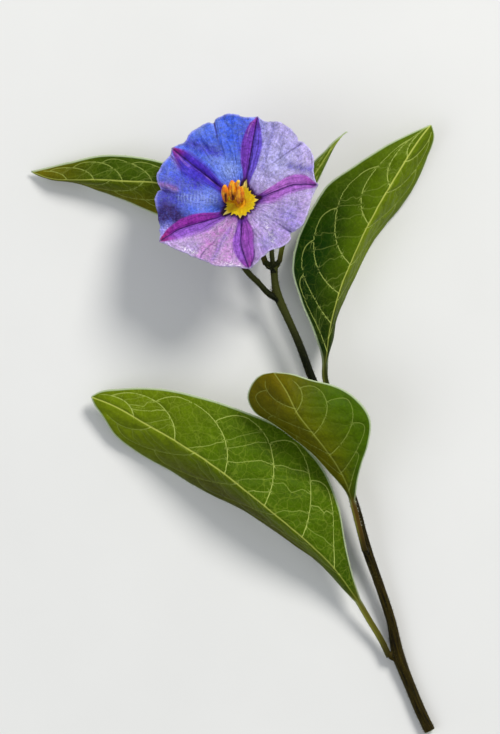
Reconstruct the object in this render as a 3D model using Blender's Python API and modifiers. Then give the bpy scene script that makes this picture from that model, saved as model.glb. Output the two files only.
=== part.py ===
"""A cut sprig of lycianthes, the blue potato bush, lying on its back on a flat surface.

One open flower faces up, five leaves stand off the thin stem, and a closed bud hides behind the
flower. X runs to the right of the sprig, Y towards its tip and Z up. The origin is on the surface,
under the middle of the sprig. Sizes are in millimetres and are turned into metres as meshes are made.
"""

import math

import bmesh
import bpy
import numpy as np
from mathutils import Matrix, Vector

MM = 0.001

# Blades and petioles
BLADE_THICKNESS = 0.6
RIB_DEPTH = 0.35
RIB_SPREAD = 0.55
ARCH = 1.35
TIP_HALF_WIDTH = 0.15
PETIOLE_ROWS = 6
BLADE_ROWS = 18
ACROSS = np.linspace(-1.0, 1.0, 9)

# The open flower: where its own axis meets the plane of the rim, and the way it leans from upright.
# The rim isn't quite centred on the throat: its middle lies RIM_SHIFT away from the axis.
FLOWER_CENTRE = (0.57, 39.13, 16.19)
FLOWER_LEAN = math.radians(23.5)
FLOWER_LEAN_TOWARDS = math.radians(130)
RIM_SHIFT = (0.2, 0.8)
BOWL_DEPTH = 3.0
BOWL_RADIUS = 14.0
PETAL_THICKNESS = 0.6
THROAT_RADIUS = 1.0
TUBE_RADIUS = 1.7
TUBE_END = -4.6
MEMBRANE_RISE = 0.55
RIM_BESIDE_STRIPE = 13.15

# Each stripe's direction in degrees and the radius of its pointed tip, going round the flower
STRIPES = ((2, 13.95), (77.5, 13.85), (144.5, 14.4), (213, 15.6), (280.7, 14.0))
# The lobe after each stripe: radius of its first shoulder, of its notch and of its second shoulder
LOBES = (
    (14.1, 13.2, 13.9),
    (14.05, 13.35, 14.0),
    (14.35, 13.6, 14.05),
    (14.1, 13.0, 13.45),
    (12.6, 11.8, 13.3),
)

# Calyx, stamens and pistil, measured along the flower's own axis from the middle of its rim
CALYX_BASE = -7.4
CALYX_RIM = -4.5
CALYX_RADIUS = 2.6
CALYX_WALL = 0.55
CALYX_TEETH = 10
TOOTH_REACH = 4.2
TOOTH_TOP = -3.4
ANTHER_PLACES = (-75, -20, 50, 115, 185)
ANTHER_RADIUS = 0.58
ANTHER_HALF_LENGTH = 2.1
ANTHER_RING_RADIUS = 1.25
ANTHER_LEAN = math.radians(36)
ANTHER_LEAN_TOWARDS = math.radians(79)
STAMEN_RING_RADIUS = 1.0
STAMEN_RING_CENTRE = (-0.4, 0.0, -1.75)
STYLE_RADIUS = 0.26

# The closed bud
BUD_BASE = (7.05, 33.9, 4.35)
BUD_DIRECTION = (0.1, 1.0, -0.25)
BUD_LENGTH = 4.0
BUD_RADIUS = 1.25

# The stem and its stalks: points along the middle, each with its radius
MAIN_STEM = (
    (33.9, -52.1, 1.0, 1.0),
    (32.4, -49.0, 1.0, 0.98),
    (30.0, -43.2, 1.05, 0.98),
    (28.7, -39.9, 1.2, 1.07),
    (27.1, -32.8, 1.7, 0.84),
    (24.8, -25.9, 2.4, 0.82),
    (23.0, -20.8, 3.0, 0.86),
    (21.5, -15.1, 3.6, 0.77),
    (19.8, -9.6, 4.0, 0.75),
    (18.0, -3.6, 4.3, 0.75),
    (16.3, 2.0, 4.5, 0.85),
    (13.5, 8.7, 4.8, 0.74),
    (11.4, 14.3, 5.0, 0.70),
    (9.2, 19.3, 5.1, 0.70),
    (7.7, 22.7, 5.2, 0.78),
    (7.2, 25.4, 5.3, 0.64),
    (7.1, 27.2, 5.4, 0.70),
)
FLOWER_STALK = (
    (7.7, 21.9, 5.2, 0.5),
    (6.3, 22.8, 5.5, 0.55),
    (4.5, 24.7, 5.9, 0.54),
    (2.1, 27.3, 6.2, 0.54),
    (1.3, 29.7, 6.0, 0.54),
    (1.8, 32.6, 5.6, 0.56),
)
BUD_STALK = (
    (7.1, 26.6, 5.4, 0.45),
    (6.8, 28.8, 5.4, 0.44),
    (6.7, 30.2, 5.2, 0.44),
    (6.8, 31.9, 4.9, 0.46),
    (6.98, 33.2, 4.55, 0.5),
)

# Leaves: the petiole from its foot to the blade, then the blade's midrib and its two margins,
# each from the base to the tip. Left and right are as seen from the foot, looking to the tip.
LEAVES = {
    "leaf_low": {
        "petiole_half_width": 0.52,
        "petiole": ((26.9, -39.3, 1.75), (25.5, -36.4, 1.9), (23.4, -32.9, 2.6), (21.5, -29.6, 3.4)),
        "midrib": (
            (21.5, -29.6, 3.4), (17.0, -23.5, 5.8), (11.5, -18.3, 8.0), (5.2, -13.0, 9.2),
            (-1.4, -7.7, 9.0), (-8.1, -3.2, 7.4), (-14.8, 0.7, 5.2), (-20.6, 3.9, 3.5),
            (-24.2, 5.3, 2.6),
        ),
        "left": (
            (19.3, -28.1, 2.9), (15.0, -23.5, 2.1), (8.2, -18.5, 0.8), (1.3, -14.0, -0.3),
            (-5.6, -10.6, -0.3), (-11.6, -7.0, 0.7), (-17.1, -3.8, 1.5), (-20.3, -1.1, 2.1),
            (-22.2, 1.8, 2.5), (-23.7, 3.9, 2.6),
        ),
        "right": (
            (21.0, -26.6, 3.3), (19.4, -20.2, 4.3), (18.0, -12.9, 5.9), (14.6, -5.6, 6.9), (8.6, -0.1, 7.3),
            (1.3, 3.1, 7.0), (-5.5, 5.3, 6.2), (-12.4, 6.7, 5.0), (-18.9, 6.7, 3.7), (-23.0, 6.1, 2.9),
        ),
    },
    "leaf_front": {
        "petiole_half_width": 0.5,
        "petiole": ((22.6, -21.0, 4.95), (21.5, -16.7, 5.7), (20.9, -14.3, 6.5), (20.4, -12.4, 7.3)),
        "midrib": (
            (20.4, -12.4, 7.3), (19.3, -9.3, 9.2), (17.4, -5.8, 11.6), (13.6, -0.8, 14.2),
            (11.1, 2.4, 15.1), (9.1, 6.3, 15.0), (7.0, 9.5, 13.8),
        ),
        "left": (
            (19.6, -11.5, 7.3), (18.3, -9.6, 8.2), (16.6, -7.7, 8.9), (13.5, -4.3, 9.6), (10.1, -1.6, 9.8),
            (6.4, 1.1, 9.8), (3.7, 2.8, 10.0), (2.6, 4.9, 10.6), (3.2, 7.4, 11.8), (4.9, 9.1, 13.0),
        ),
        "right": (
            (21.0, -11.3, 7.3), (21.3, -8.9, 8.6), (22.0, -5.8, 10.2), (23.0, -2.7, 11.4),
            (23.3, 1.7, 12.1), (21.1, 5.0, 12.6), (17.3, 7.2, 13.0), (13.1, 8.3, 13.4),
            (9.7, 9.3, 13.7),
        ),
    },
    "leaf_upper_right": {
        "petiole_half_width": 0.5,
        "petiole": ((17.3, 3.0, 4.9), (16.4, 6.3, 5.1), (15.8, 8.7, 5.4), (15.8, 10.9, 5.8)),
        "midrib": (
            (15.8, 10.9, 5.8), (16.8, 17.7, 7.2), (18.5, 24.0, 8.3), (21.0, 30.1, 8.8), (24.6, 37.4, 8.8),
            (28.4, 43.8, 7.3), (31.7, 49.0, 5.6), (33.9, 51.8, 4.2),
        ),
        "left": (
            (15.2, 12.1, 5.8), (14.1, 15.7, 6.3), (11.7, 21.7, 6.5), (10.2, 27.5, 6.5), (11.0, 31.9, 6.5),
            (13.2, 36.8, 6.6), (15.9, 41.1, 6.6), (20.9, 44.8, 6.6), (26.0, 48.1, 6.1), (31.0, 50.6, 4.9),
        ),
        "right": (
            (16.4, 12.1, 5.6), (17.2, 14.9, 4.6), (17.7, 18.1, 2.9), (19.3, 22.1, 1.2), (21.6, 26.9, -0.3),
            (24.5, 32.4, -0.3), (28.8, 37.7, 0.7), (30.8, 40.6, 1.3), (33.5, 46.4, 2.4), (34.5, 50.3, 3.6),
        ),
    },
    "leaf_upper_left": {
        "petiole_half_width": 0.5,
        "petiole": ((5.7, 28.0, 4.75), (4.4, 31.4, 4.2), (1.8, 34.3, 4.0), (-0.6, 36.2, 4.1)),
        "midrib": (
            (-0.6, 36.2, 4.1), (-5.5, 38.9, 5.0), (-9.3, 40.7, 5.5), (-12.9, 41.8, 5.8), (-17.5, 42.1, 5.4),
            (-22.6, 42.4, 4.6), (-26.9, 42.4, 3.7), (-31.3, 42.7, 2.4), (-34.6, 43.9, 1.0),
        ),
        "left": (
            (-2.5, 35.4, 4.0), (-6.1, 34.7, 3.8), (-9.8, 35.2, 3.5), (-12.9, 36.4, 3.2), (-17.6, 38.5, 2.2),
            (-22.8, 40.6, 0.7), (-27.9, 42.3, -0.3), (-32.2, 42.9, 0.2),
        ),
        "right": (
            (-1.8, 37.6, 4.0), (-4.7, 41.2, 4.3), (-7.9, 44.1, 4.7), (-11.5, 45.3, 4.9), (-16.6, 46.4, 4.5),
            (-22.7, 46.6, 3.7), (-27.8, 45.6, 2.7), (-32.3, 44.5, 1.5),
        ),
    },
    "leaf_small": {
        "petiole_half_width": 0.42,
        "petiole": ((8.0, 28.3, 5.75), (8.5, 30.9, 6.1), (9.1, 33.2, 6.6), (9.8, 34.9, 6.9)),
        "midrib": (
            (9.8, 34.9, 6.9), (11.2, 38.0, 7.4), (12.9, 41.4, 8.0), (14.7, 44.2, 8.4), (16.4, 46.8, 8.4),
            (18.0, 48.8, 8.2), (19.5, 50.4, 7.8),
        ),
        "left": (
            (9.8, 36.1, 6.9), (10.8, 40.0, 7.1), (12.5, 43.6, 7.2), (14.2, 45.8, 7.5), (15.8, 47.3, 7.8),
            (17.1, 48.7, 7.9), (18.5, 49.8, 7.9),
        ),
        "right": (
            (10.8, 36.0, 6.8), (12.7, 39.0, 6.9), (14.4, 41.6, 7.0), (15.8, 44.6, 7.0), (16.6, 46.3, 7.2),
            (17.6, 48.2, 7.5), (18.8, 49.7, 7.8),
        ),
    },
}


def clear_scene():
    for obj in list(bpy.data.objects):
        bpy.data.objects.remove(obj, do_unlink=True)


def new_collection(name, hidden=False):
    collection = bpy.data.collections.new(name)
    collection.hide_render = hidden
    bpy.context.scene.collection.children.link(collection)
    return collection


def new_material(name, colour, roughness):
    material = bpy.data.materials.new(name)
    material.use_nodes = True
    shader = material.node_tree.nodes["Principled BSDF"]
    shader.inputs["Base Color"].default_value = (*colour, 1.0)
    shader.inputs["Roughness"].default_value = roughness
    shader.inputs["Metallic"].default_value = 0.0
    return material


def new_object(name, mesh, collection, material=None, parent=None):
    obj = bpy.data.objects.new(name, mesh)
    if material:
        mesh.materials.clear()
        mesh.materials.append(material)
    if parent:
        obj.parent = parent
    collection.objects.link(obj)
    return obj


def mesh_of(name, bm):
    bmesh.ops.recalc_face_normals(bm, faces=bm.faces[:])
    mesh = bpy.data.meshes.new(name)
    bm.to_mesh(mesh)
    bm.free()
    mesh.shade_smooth()
    mesh.set_sharp_from_angle(angle=math.radians(50))
    return mesh


def smooth_path(points, count):
    """Even samples of a smooth curve through the points. Columns after the third ride along."""
    rows = np.array(points, float)
    steps = np.linalg.norm(np.diff(rows[:, :3], axis=0), axis=1)
    along = np.concatenate([[0.0], np.cumsum(steps)])
    slopes = np.gradient(rows, along, axis=0)
    wanted = np.linspace(0.0, along[-1], count)
    i = np.clip(np.searchsorted(along, wanted) - 1, 0, len(along) - 2)
    span = (along[i + 1] - along[i])[:, None]
    t = (wanted - along[i])[:, None] / span
    start = (2 * t**3 - 3 * t**2 + 1) * rows[i] + (t**3 - 2 * t**2 + t) * span * slopes[i]
    end = (3 * t**2 - 2 * t**3) * rows[i + 1] + (t**3 - t**2) * span * slopes[i + 1]
    return start + end


def unit(vectors):
    return vectors / np.linalg.norm(vectors, axis=-1, keepdims=True)


def loft(rings, around=False, turned_from=None):
    """Skins a row of equal rings, in triangles. With around, the last ring meets the first.

    From the ring point turned_from on, quads are split the other way, so that the underside of a
    blade is split like its upper side.
    """
    bm = bmesh.new()
    rows = [[bm.verts.new(Vector(point) * MM) for point in ring] for ring in rings]
    count = len(rows[0])
    pairs = list(zip(rows, rows[1:] + rows[:1])) if around else list(zip(rows, rows[1:]))
    for near, far in pairs:
        for k in range(count):
            a, b, c, d = near[k], near[(k + 1) % count], far[(k + 1) % count], far[k]
            if turned_from is None or k < turned_from:
                bm.faces.new((a, b, c))
                bm.faces.new((a, c, d))
            else:
                bm.faces.new((a, b, d))
                bm.faces.new((b, c, d))
    if not around:
        bm.faces.new(rows[0])
        bm.faces.new(rows[-1])
    return bm


def side_of(path):
    """The level direction to the left of each point of a path."""
    ahead = np.gradient(path, axis=0)
    return unit(np.stack([-ahead[:, 1], ahead[:, 0], np.zeros(len(path))], axis=1))


def leaf_grid(leaf):
    """Points of the blade's middle surface: a row for each place along the leaf, left to right."""
    half = leaf["petiole_half_width"]
    petiole = smooth_path(leaf["petiole"], PETIOLE_ROWS)
    side = side_of(petiole) * half
    middle = smooth_path(leaf["midrib"], BLADE_ROWS)
    base_side = side_of(middle)[0] * half
    # The tip's own short row runs from margin to margin, also where the leaf ends bluntly
    tip_side = unit(np.subtract(leaf["left"][-1], leaf["right"][-1])) * TIP_HALF_WIDTH
    left = smooth_path((middle[0] + base_side, *leaf["left"], middle[-1] + tip_side), BLADE_ROWS)
    right = smooth_path((middle[0] - base_side, *leaf["right"], middle[-1] - tip_side), BLADE_ROWS)
    middle = np.concatenate([petiole[:-1], middle])
    left = np.concatenate([petiole[:-1] + side[:-1], left])
    right = np.concatenate([petiole[:-1] - side[:-1], right])
    grid = np.empty((len(middle), len(ACROSS), 3))
    for column, across in enumerate(ACROSS):
        margin = left if across < 0 else right
        grid[:, column] = middle + (margin - middle) * abs(across)
        grid[:, column, 2] = middle[:, 2] + (margin - middle)[:, 2] * abs(across) ** ARCH
    return grid


def leaf_mesh(name, leaf):
    grid = leaf_grid(leaf)
    normal = unit(np.cross(np.gradient(grid, axis=1), np.gradient(grid, axis=0)))
    normal *= np.sign(normal[..., 2].mean())
    # One direction for the whole of a row, so that a narrow, folded row can't pass through itself
    normal = unit(normal.mean(axis=1, keepdims=True))
    # The tip's row is too short to have a direction of its own
    normal[-1] = normal[-2]
    from_rib = np.linalg.norm(grid - grid[:, len(ACROSS) // 2][:, None], axis=2)
    rib = RIB_DEPTH * np.exp(-((from_rib / RIB_SPREAD) ** 2))
    upper = grid + normal * BLADE_THICKNESS / 2
    lower = grid - normal * (BLADE_THICKNESS / 2 + rib[..., None])
    rings = np.concatenate([upper, lower[:, ::-1]], axis=1)
    # What would sink into the surface is flattened on it: the leaf rests on these spots.
    rings[..., 2] = np.maximum(rings[..., 2], 0.0)
    return mesh_of(name, loft(rings, turned_from=len(ACROSS)))


def tube_object(name, points, count, collection):
    """A round stalk as a curve, its radius from the fourth number of each point."""
    curve = bpy.data.curves.new(name, "CURVE")
    curve.dimensions = "3D"
    curve.bevel_depth = MM
    curve.bevel_resolution = 2
    curve.use_fill_caps = True
    path = smooth_path(points, count)
    spline = curve.splines.new("POLY")
    spline.points.add(count - 1)
    for place, (x, y, z, radius) in zip(spline.points, path):
        place.co = (x * MM, y * MM, z * MM, 1.0)
        place.radius = radius
    return new_object(name, curve, collection)


def solid_from_curve(obj, collection):
    """The curve as a closed mesh object, its caps welded on. The curve is removed."""
    name = obj.name
    bpy.context.view_layer.update()
    graph = bpy.context.evaluated_depsgraph_get()
    mesh = bpy.data.meshes.new_from_object(obj.evaluated_get(graph))
    matrix = obj.matrix_world.copy()
    bpy.data.objects.remove(obj, do_unlink=True)
    bm = bmesh.new()
    bm.from_mesh(mesh)
    bmesh.ops.remove_doubles(bm, verts=bm.verts[:], dist=0.00001)
    bmesh.ops.recalc_face_normals(bm, faces=bm.faces[:])
    bm.to_mesh(mesh)
    bm.free()
    solid = new_object(name, mesh, collection)
    solid.matrix_world = matrix
    return solid


def fuse(obj, others, material):
    """Joins the other solids into obj for good, and removes them."""
    helpers = new_collection(obj.name + "_pieces", hidden=True)
    for other in others:
        for owner in list(other.users_collection):
            owner.objects.unlink(other)
        helpers.objects.link(other)
    union = obj.modifiers.new("union", "BOOLEAN")
    union.operation = "UNION"
    union.operand_type = "COLLECTION"
    union.collection = helpers
    union.solver = "EXACT"
    bpy.context.view_layer.update()
    graph = bpy.context.evaluated_depsgraph_get()
    mesh = bpy.data.meshes.new_from_object(obj.evaluated_get(graph))
    obj.modifiers.remove(union)
    mesh.name = obj.name
    mesh.materials.clear()
    mesh.materials.append(material)
    obj.data = mesh
    for other in others:
        bpy.data.objects.remove(other, do_unlink=True)
    bpy.data.collections.remove(helpers)


def flower_turn():
    """The rotation that leans the flower's own upright axis the way the flower faces."""
    hinge = Vector((-math.sin(FLOWER_LEAN_TOWARDS), math.cos(FLOWER_LEAN_TOWARDS), 0.0))
    return Matrix.Rotation(FLOWER_LEAN, 3, hinge)


def on_flower_axis(height):
    """The point of the flower's axis at this height above the middle of its rim."""
    return Vector(FLOWER_CENTRE) + flower_turn() @ Vector((0.0, 0.0, height))


def stem(collection, material):
    main = solid_from_curve(tube_object("stem", MAIN_STEM, 34, collection), collection)
    into_calyx = on_flower_axis(CALYX_BASE - 0.3)
    behind = on_flower_axis(CALYX_BASE - 2.2)
    route = (*FLOWER_STALK, (*behind, 0.6), (*into_calyx, 0.8))
    branches = [
        tube_object("flower_stalk", route, 20, collection),
        tube_object("bud_stalk", BUD_STALK, 9, collection),
    ]
    fuse(main, [solid_from_curve(branch, collection) for branch in branches], material)


def lobe_at(degrees):
    """Which lobe a direction is in, and how far across it, from 0 at one stripe to 1 at the next."""
    for number, (start, _) in enumerate(STRIPES):
        width = (STRIPES[(number + 1) % len(STRIPES)][0] - start) % 360
        past = (degrees - start) % 360
        if past < width:
            return number, past / width, width
    return 0, 0.0, 1.0


def rim_radius(degrees):
    lobe, phase, width = lobe_at(degrees)
    first, notch, second = LOBES[lobe]
    knots = (0.0, 0.06, 0.3, 0.5, 0.7, 0.94, 1.0)
    shoulder = (first + second) / 2
    beside = RIM_BESIDE_STRIPE
    radius = np.interp(phase, knots, (beside, beside, first, shoulder, second, beside, beside))
    radius -= (shoulder - notch) * math.exp(-(((phase - 0.5) / 0.04) ** 2))
    for stripe, past in ((lobe, phase), (lobe + 1, 1 - phase)):
        tip = STRIPES[stripe % len(STRIPES)][1] - beside
        radius += tip * math.exp(-((past * width / 4.5) ** 2))
    return radius


def petal_height(radius, degrees):
    """Height of the corolla's face: a shallow bowl whose membranes rise between the stripes."""
    _, phase, width = lobe_at(degrees)
    to_stripe = radius * math.sin(math.radians(min(phase, 1 - phase) * width))
    rise = MEMBRANE_RISE * (radius / BOWL_RADIUS) ** 2 * (1 - math.exp(-((to_stripe / 2.2) ** 2)))
    return rise - BOWL_DEPTH * (1 - (radius / BOWL_RADIUS) ** 1.5)


def corolla(collection, material, parent):
    outward = np.array((0.0, 0.1, 0.22, 0.36, 0.5, 0.64, 0.78, 0.9, 1.0))
    phases = (0.0, 0.05, 0.12, 0.24, 0.36, 0.44, 0.5, 0.56, 0.64, 0.76, 0.88, 0.95)
    rings = []
    for number, (start, _) in enumerate(STRIPES):
        width = (STRIPES[(number + 1) % len(STRIPES)][0] - start) % 360
        for phase in phases:
            degrees = start + phase * width
            turn = math.radians(degrees)
            radii = THROAT_RADIUS + (rim_radius(degrees) - THROAT_RADIUS) * outward
            face = [(radius, petal_height(radius, degrees)) for radius in radii]
            back = [(radius, height - PETAL_THICKNESS) for radius, height in face[:0:-1]]
            neck = petal_height(TUBE_RADIUS, degrees) - PETAL_THICKNESS
            tube = [(TUBE_RADIUS, neck), (TUBE_RADIUS, TUBE_END), (THROAT_RADIUS, TUBE_END)]
            profile = face + back + tube
            shift = Vector(RIM_SHIFT)
            ring = []
            for radius, height in profile:
                place = Vector((math.cos(turn), math.sin(turn))) * radius
                if radius > TUBE_RADIUS:
                    place += shift * (radius - TUBE_RADIUS) / (BOWL_RADIUS - TUBE_RADIUS)
                ring.append((*place, height))
            rings.append(ring)
    bm = loft(rings, around=True, turned_from=len(outward))
    return new_object("corolla", mesh_of("corolla", bm), collection, material, parent)


def calyx(collection, material, parent):
    """A small cup with ten narrow teeth that spread under the corolla."""
    columns = 4 * CALYX_TEETH
    tooth = [(1.0, 0.42, 0.0, 0.42)[column % 4] for column in range(columns)]
    inner = CALYX_RADIUS - CALYX_WALL
    rise = TOOTH_TOP - CALYX_RIM
    rim_inner = [(inner + t * (TOOTH_REACH - inner), CALYX_RIM + t * rise) for t in tooth]
    rim_outer = [(CALYX_RADIUS + t * (TOOTH_REACH - CALYX_RADIUS), height - 0.35 * t)
                 for t, (_, height) in zip(tooth, rim_inner)]
    floor = CALYX_BASE + 0.6
    rows = [
        [(0.5, CALYX_BASE)] * columns,
        [(1.5, CALYX_BASE + 0.2)] * columns,
        [(2.3, CALYX_BASE + 1.0)] * columns,
        [(CALYX_RADIUS, CALYX_RIM - 0.7)] * columns,
        rim_outer,
        rim_inner,
        [(inner, CALYX_RIM - 0.7)] * columns,
        [(inner - 0.2, CALYX_BASE + 1.2)] * columns,
        [(1.1, floor + 0.15)] * columns,
        [(0.4, floor)] * columns,
    ]
    turns = [2 * math.pi * column / columns for column in range(columns)]
    rings = [[(r * math.cos(a), r * math.sin(a), z) for (r, z), a in zip(row, turns)] for row in rows]
    return new_object("calyx", mesh_of("calyx", loft(rings)), collection, material, parent)


def stamen_turn():
    """The rotation that leans the whole column of anthers away from the flower's axis."""
    hinge = Vector((-math.sin(ANTHER_LEAN_TOWARDS), math.cos(ANTHER_LEAN_TOWARDS), 0.0))
    return Matrix.Rotation(ANTHER_LEAN, 3, hinge)


def ball(name, radius, stretch, matrix, collection, parent, sides=10):
    """A closed ball stretched along its own upright axis, then placed by the matrix."""
    bm = bmesh.new()
    bmesh.ops.create_uvsphere(bm, u_segments=sides, v_segments=7, radius=radius * MM)
    bmesh.ops.scale(bm, vec=(1.0, 1.0, stretch), verts=bm.verts[:])
    bmesh.ops.transform(bm, matrix=matrix, verts=bm.verts[:])
    return new_object(name, mesh_of(name, bm), collection, None, parent)


def stamens(collection, material, parent):
    """Five plump anthers round the style, held by the ring that their short filaments grow from."""
    bpy.ops.mesh.primitive_torus_add(
        major_radius=STAMEN_RING_RADIUS * MM, minor_radius=0.3 * MM, major_segments=20, minor_segments=6
    )
    ring = bpy.context.object
    ring.name = "stamens"
    for owner in list(ring.users_collection):
        owner.objects.unlink(ring)
    collection.objects.link(ring)
    centre, turn = Vector(STAMEN_RING_CENTRE), stamen_turn()
    ring.data.transform(Matrix.Translation(centre * MM) @ turn.to_4x4())
    ring.parent = parent
    anthers = []
    for number, place in enumerate(ANTHER_PLACES):
        round_ring = math.radians(place)
        foot = Vector((math.cos(round_ring), math.sin(round_ring), 0.0)) * ANTHER_RING_RADIUS
        middle = centre + turn @ (foot + Vector((0.0, 0.0, ANTHER_HALF_LENGTH - 0.2)))
        matrix = Matrix.Translation(middle * MM) @ turn.to_4x4()
        stretch = ANTHER_HALF_LENGTH / ANTHER_RADIUS
        anthers.append(ball(f"anther_{number}", ANTHER_RADIUS, stretch, matrix, collection, parent))
    fuse(ring, anthers, material)
    return ring


def pistil(collection, material, parent):
    """The ovary in the calyx, with the style rising through the throat and between the anthers."""
    ovary_middle = CALYX_BASE + 1.75
    ovary = ball("pistil", 1.15, 0.7, Matrix.Translation((0.0, 0.0, ovary_middle * MM)), collection, parent)
    axis = stamen_turn() @ Vector((0.0, 0.0, 1.0))
    bend = Vector(STAMEN_RING_CENTRE)
    tip = bend + axis * (2 * ANTHER_HALF_LENGTH + 0.4)
    route = [(0.0, 0.0, ovary_middle), (0.0, 0.0, -4.0), tuple(bend), tuple(bend + axis * 2.0), tuple(tip)]
    style = tube_object("style", [(*point, STYLE_RADIUS) for point in route], 12, collection)
    style.parent = parent
    style = solid_from_curve(style, collection)
    stigma = ball("stigma", 0.42, 0.9, Matrix.Translation(tip * MM), collection, parent, sides=8)
    fuse(ovary, [style, stigma], material)
    return ovary


def bud(collection, material):
    """A young bud, still wholly closed in its green calyx."""
    upper = ((1.0, 0.0), (0.95, 0.16), (0.8, 0.5), (0.62, 0.85))
    lower = ((0.4, 1.0), (0.2, 0.9), (0.06, 0.6), (0.0, 0.0))
    mesh = bpy.data.meshes.new("bud")
    profile = [(radius * BUD_RADIUS, height * BUD_LENGTH) for height, radius in upper + lower]
    points = [(radius * MM, 0.0, height * MM) for radius, height in profile]
    mesh.from_pydata(points, [(i, i + 1) for i in range(len(points) - 1)], [])
    obj = new_object("bud", mesh, collection, material)
    turned = obj.modifiers.new("turned", "SCREW")
    turned.steps = turned.render_steps = 20
    turned.use_merge_vertices = True
    turned.merge_threshold = 0.00001
    obj.location = Vector(BUD_BASE) * MM
    obj.rotation_euler = Vector(BUD_DIRECTION).to_track_quat("Z", "Y").to_euler()
    return obj


def flower_empty(collection):
    empty = bpy.data.objects.new("flower_axis", None)
    empty.empty_display_size = 10 * MM
    empty.location = Vector(FLOWER_CENTRE) * MM
    empty.rotation_euler = flower_turn().to_euler()
    collection.objects.link(empty)
    bpy.context.view_layer.update()
    return empty


def main():
    clear_scene()
    sprig = new_collection("lycianthes_flower")
    stem_green = new_material("stem_green", (0.035, 0.05, 0.016), 0.6)
    leaf_green = new_material("leaf_green", (0.085, 0.14, 0.006), 0.5)
    violet = new_material("petal_violet", (0.2, 0.16, 0.62), 0.6)
    calyx_green = new_material("calyx_green", (0.06, 0.1, 0.02), 0.6)
    orange = new_material("anther_orange", (0.88, 0.36, 0.015), 0.5)
    style_yellow = new_material("style_yellow", (0.8, 0.6, 0.1), 0.5)
    stem(sprig, stem_green)
    for name, leaf in LEAVES.items():
        new_object(name, leaf_mesh(name, leaf), sprig, leaf_green)
    flower_axis = flower_empty(sprig)
    corolla(sprig, violet, flower_axis)
    calyx(sprig, calyx_green, flower_axis)
    stamens(sprig, orange, flower_axis)
    pistil(sprig, style_yellow, flower_axis)
    bud(sprig, calyx_green)
    bpy.context.view_layer.update()


main()
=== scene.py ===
# %% [markdown]
# # A cut sprig of the blue potato bush
# The sprig has one open flower, five leaves, a closed bud and a thin stem, and it lies on its back
# on a pale table. Plain solids of all its pieces are already there, at their real size. This
# script gives each one its fine skin: veins, hairs, folds in the petals and true colours.
#
# The plain solids come first, because every finer piece goes exactly where its solid lies.

# %% Load the plain sprig
import math

import bmesh
import bpy
import numpy as np
from mathutils import Matrix, Vector, kdtree, noise


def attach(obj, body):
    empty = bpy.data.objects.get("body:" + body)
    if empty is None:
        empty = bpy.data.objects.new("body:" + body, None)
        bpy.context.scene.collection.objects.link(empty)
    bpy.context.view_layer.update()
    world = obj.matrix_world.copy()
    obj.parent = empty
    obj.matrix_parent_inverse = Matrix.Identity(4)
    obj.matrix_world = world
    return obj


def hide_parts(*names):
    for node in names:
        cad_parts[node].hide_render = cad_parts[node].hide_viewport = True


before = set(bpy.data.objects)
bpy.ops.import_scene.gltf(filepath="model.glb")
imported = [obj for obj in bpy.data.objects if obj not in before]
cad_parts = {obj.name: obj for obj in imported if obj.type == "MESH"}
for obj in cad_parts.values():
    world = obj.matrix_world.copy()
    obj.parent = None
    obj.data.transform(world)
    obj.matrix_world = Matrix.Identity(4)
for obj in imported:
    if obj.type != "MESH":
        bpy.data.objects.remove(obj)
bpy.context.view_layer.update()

MM = 0.001


# %% [markdown]
# ## The camera
# The photograph looks at the sprig square on. A sprig that lies on a table is seen that way from
# straight above. A long lens from 0.7 m keeps the near flower from looking larger than it is.
# The lens follows from how much of the table the tall side of the picture takes in.

# %% Camera straight above
CAMERA_HEIGHT = 700.0
PICTURE_MIDDLE = (3.0, 10.4)
PICTURE_HEIGHT_PX = 734
MM_PER_PX = 0.17
MEASURED_AT_HEIGHT = 8.0
SENSOR_WIDTH = 36.0
NEAREST_SEEN = 0.05


def linked(name, data):
    """A new object of the scene with this data."""
    obj = bpy.data.objects.new(name, data)
    bpy.context.scene.collection.objects.link(obj)
    return obj


camera_data = bpy.data.cameras.new("camera")
camera_data.sensor_width = SENSOR_WIDTH
seen_height = PICTURE_HEIGHT_PX * MM_PER_PX
camera_data.lens = SENSOR_WIDTH * (CAMERA_HEIGHT - MEASURED_AT_HEIGHT) / seen_height
camera_data.clip_start = NEAREST_SEEN
camera = linked("camera", camera_data)
camera.location = Vector((*PICTURE_MIDDLE, CAMERA_HEIGHT)) * MM
bpy.context.scene.camera = camera
bpy.context.scene.view_settings.view_transform = "Standard"
print("lens:", round(camera_data.lens, 1), "mm")

# %% [markdown]
# ## Shader maths in plain Python
# A material is a tree of small nodes. Written out one by one they hide the idea, so a socket is
# wrapped in a class that knows plus, minus and times: `1 - mask` then adds the Math node itself.
# Every other node comes from one method, which sets its options first and its inputs after.

# %% A socket that can be added and multiplied
def put(socket, value):
    """Links a value that is worked out by a node, or sets a plain number or colour."""
    if isinstance(value, Value):
        socket.id_data.links.new(value.socket, socket)
    elif isinstance(value, tuple) and len(socket.default_value) == 4:
        socket.default_value = (*value, 1.0)
    else:
        socket.default_value = value


class Value:
    """A number that varies over the surface. Arithmetic on it adds Math nodes."""

    def __init__(self, socket):
        self.socket = socket

    def maths(self, operation, *values):
        node = self.socket.id_data.nodes.new("ShaderNodeMath")
        node.operation = operation
        for place, value in zip(node.inputs, values):
            put(place, value)
        return Value(node.outputs[0])

    def __add__(self, other):
        return self.maths("ADD", self, other)

    def __sub__(self, other):
        return self.maths("SUBTRACT", self, other)

    def __rsub__(self, other):
        return self.maths("SUBTRACT", other, self)

    def __mul__(self, other):
        return self.maths("MULTIPLY", self, other)

    __radd__ = __add__
    __rmul__ = __mul__


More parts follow.
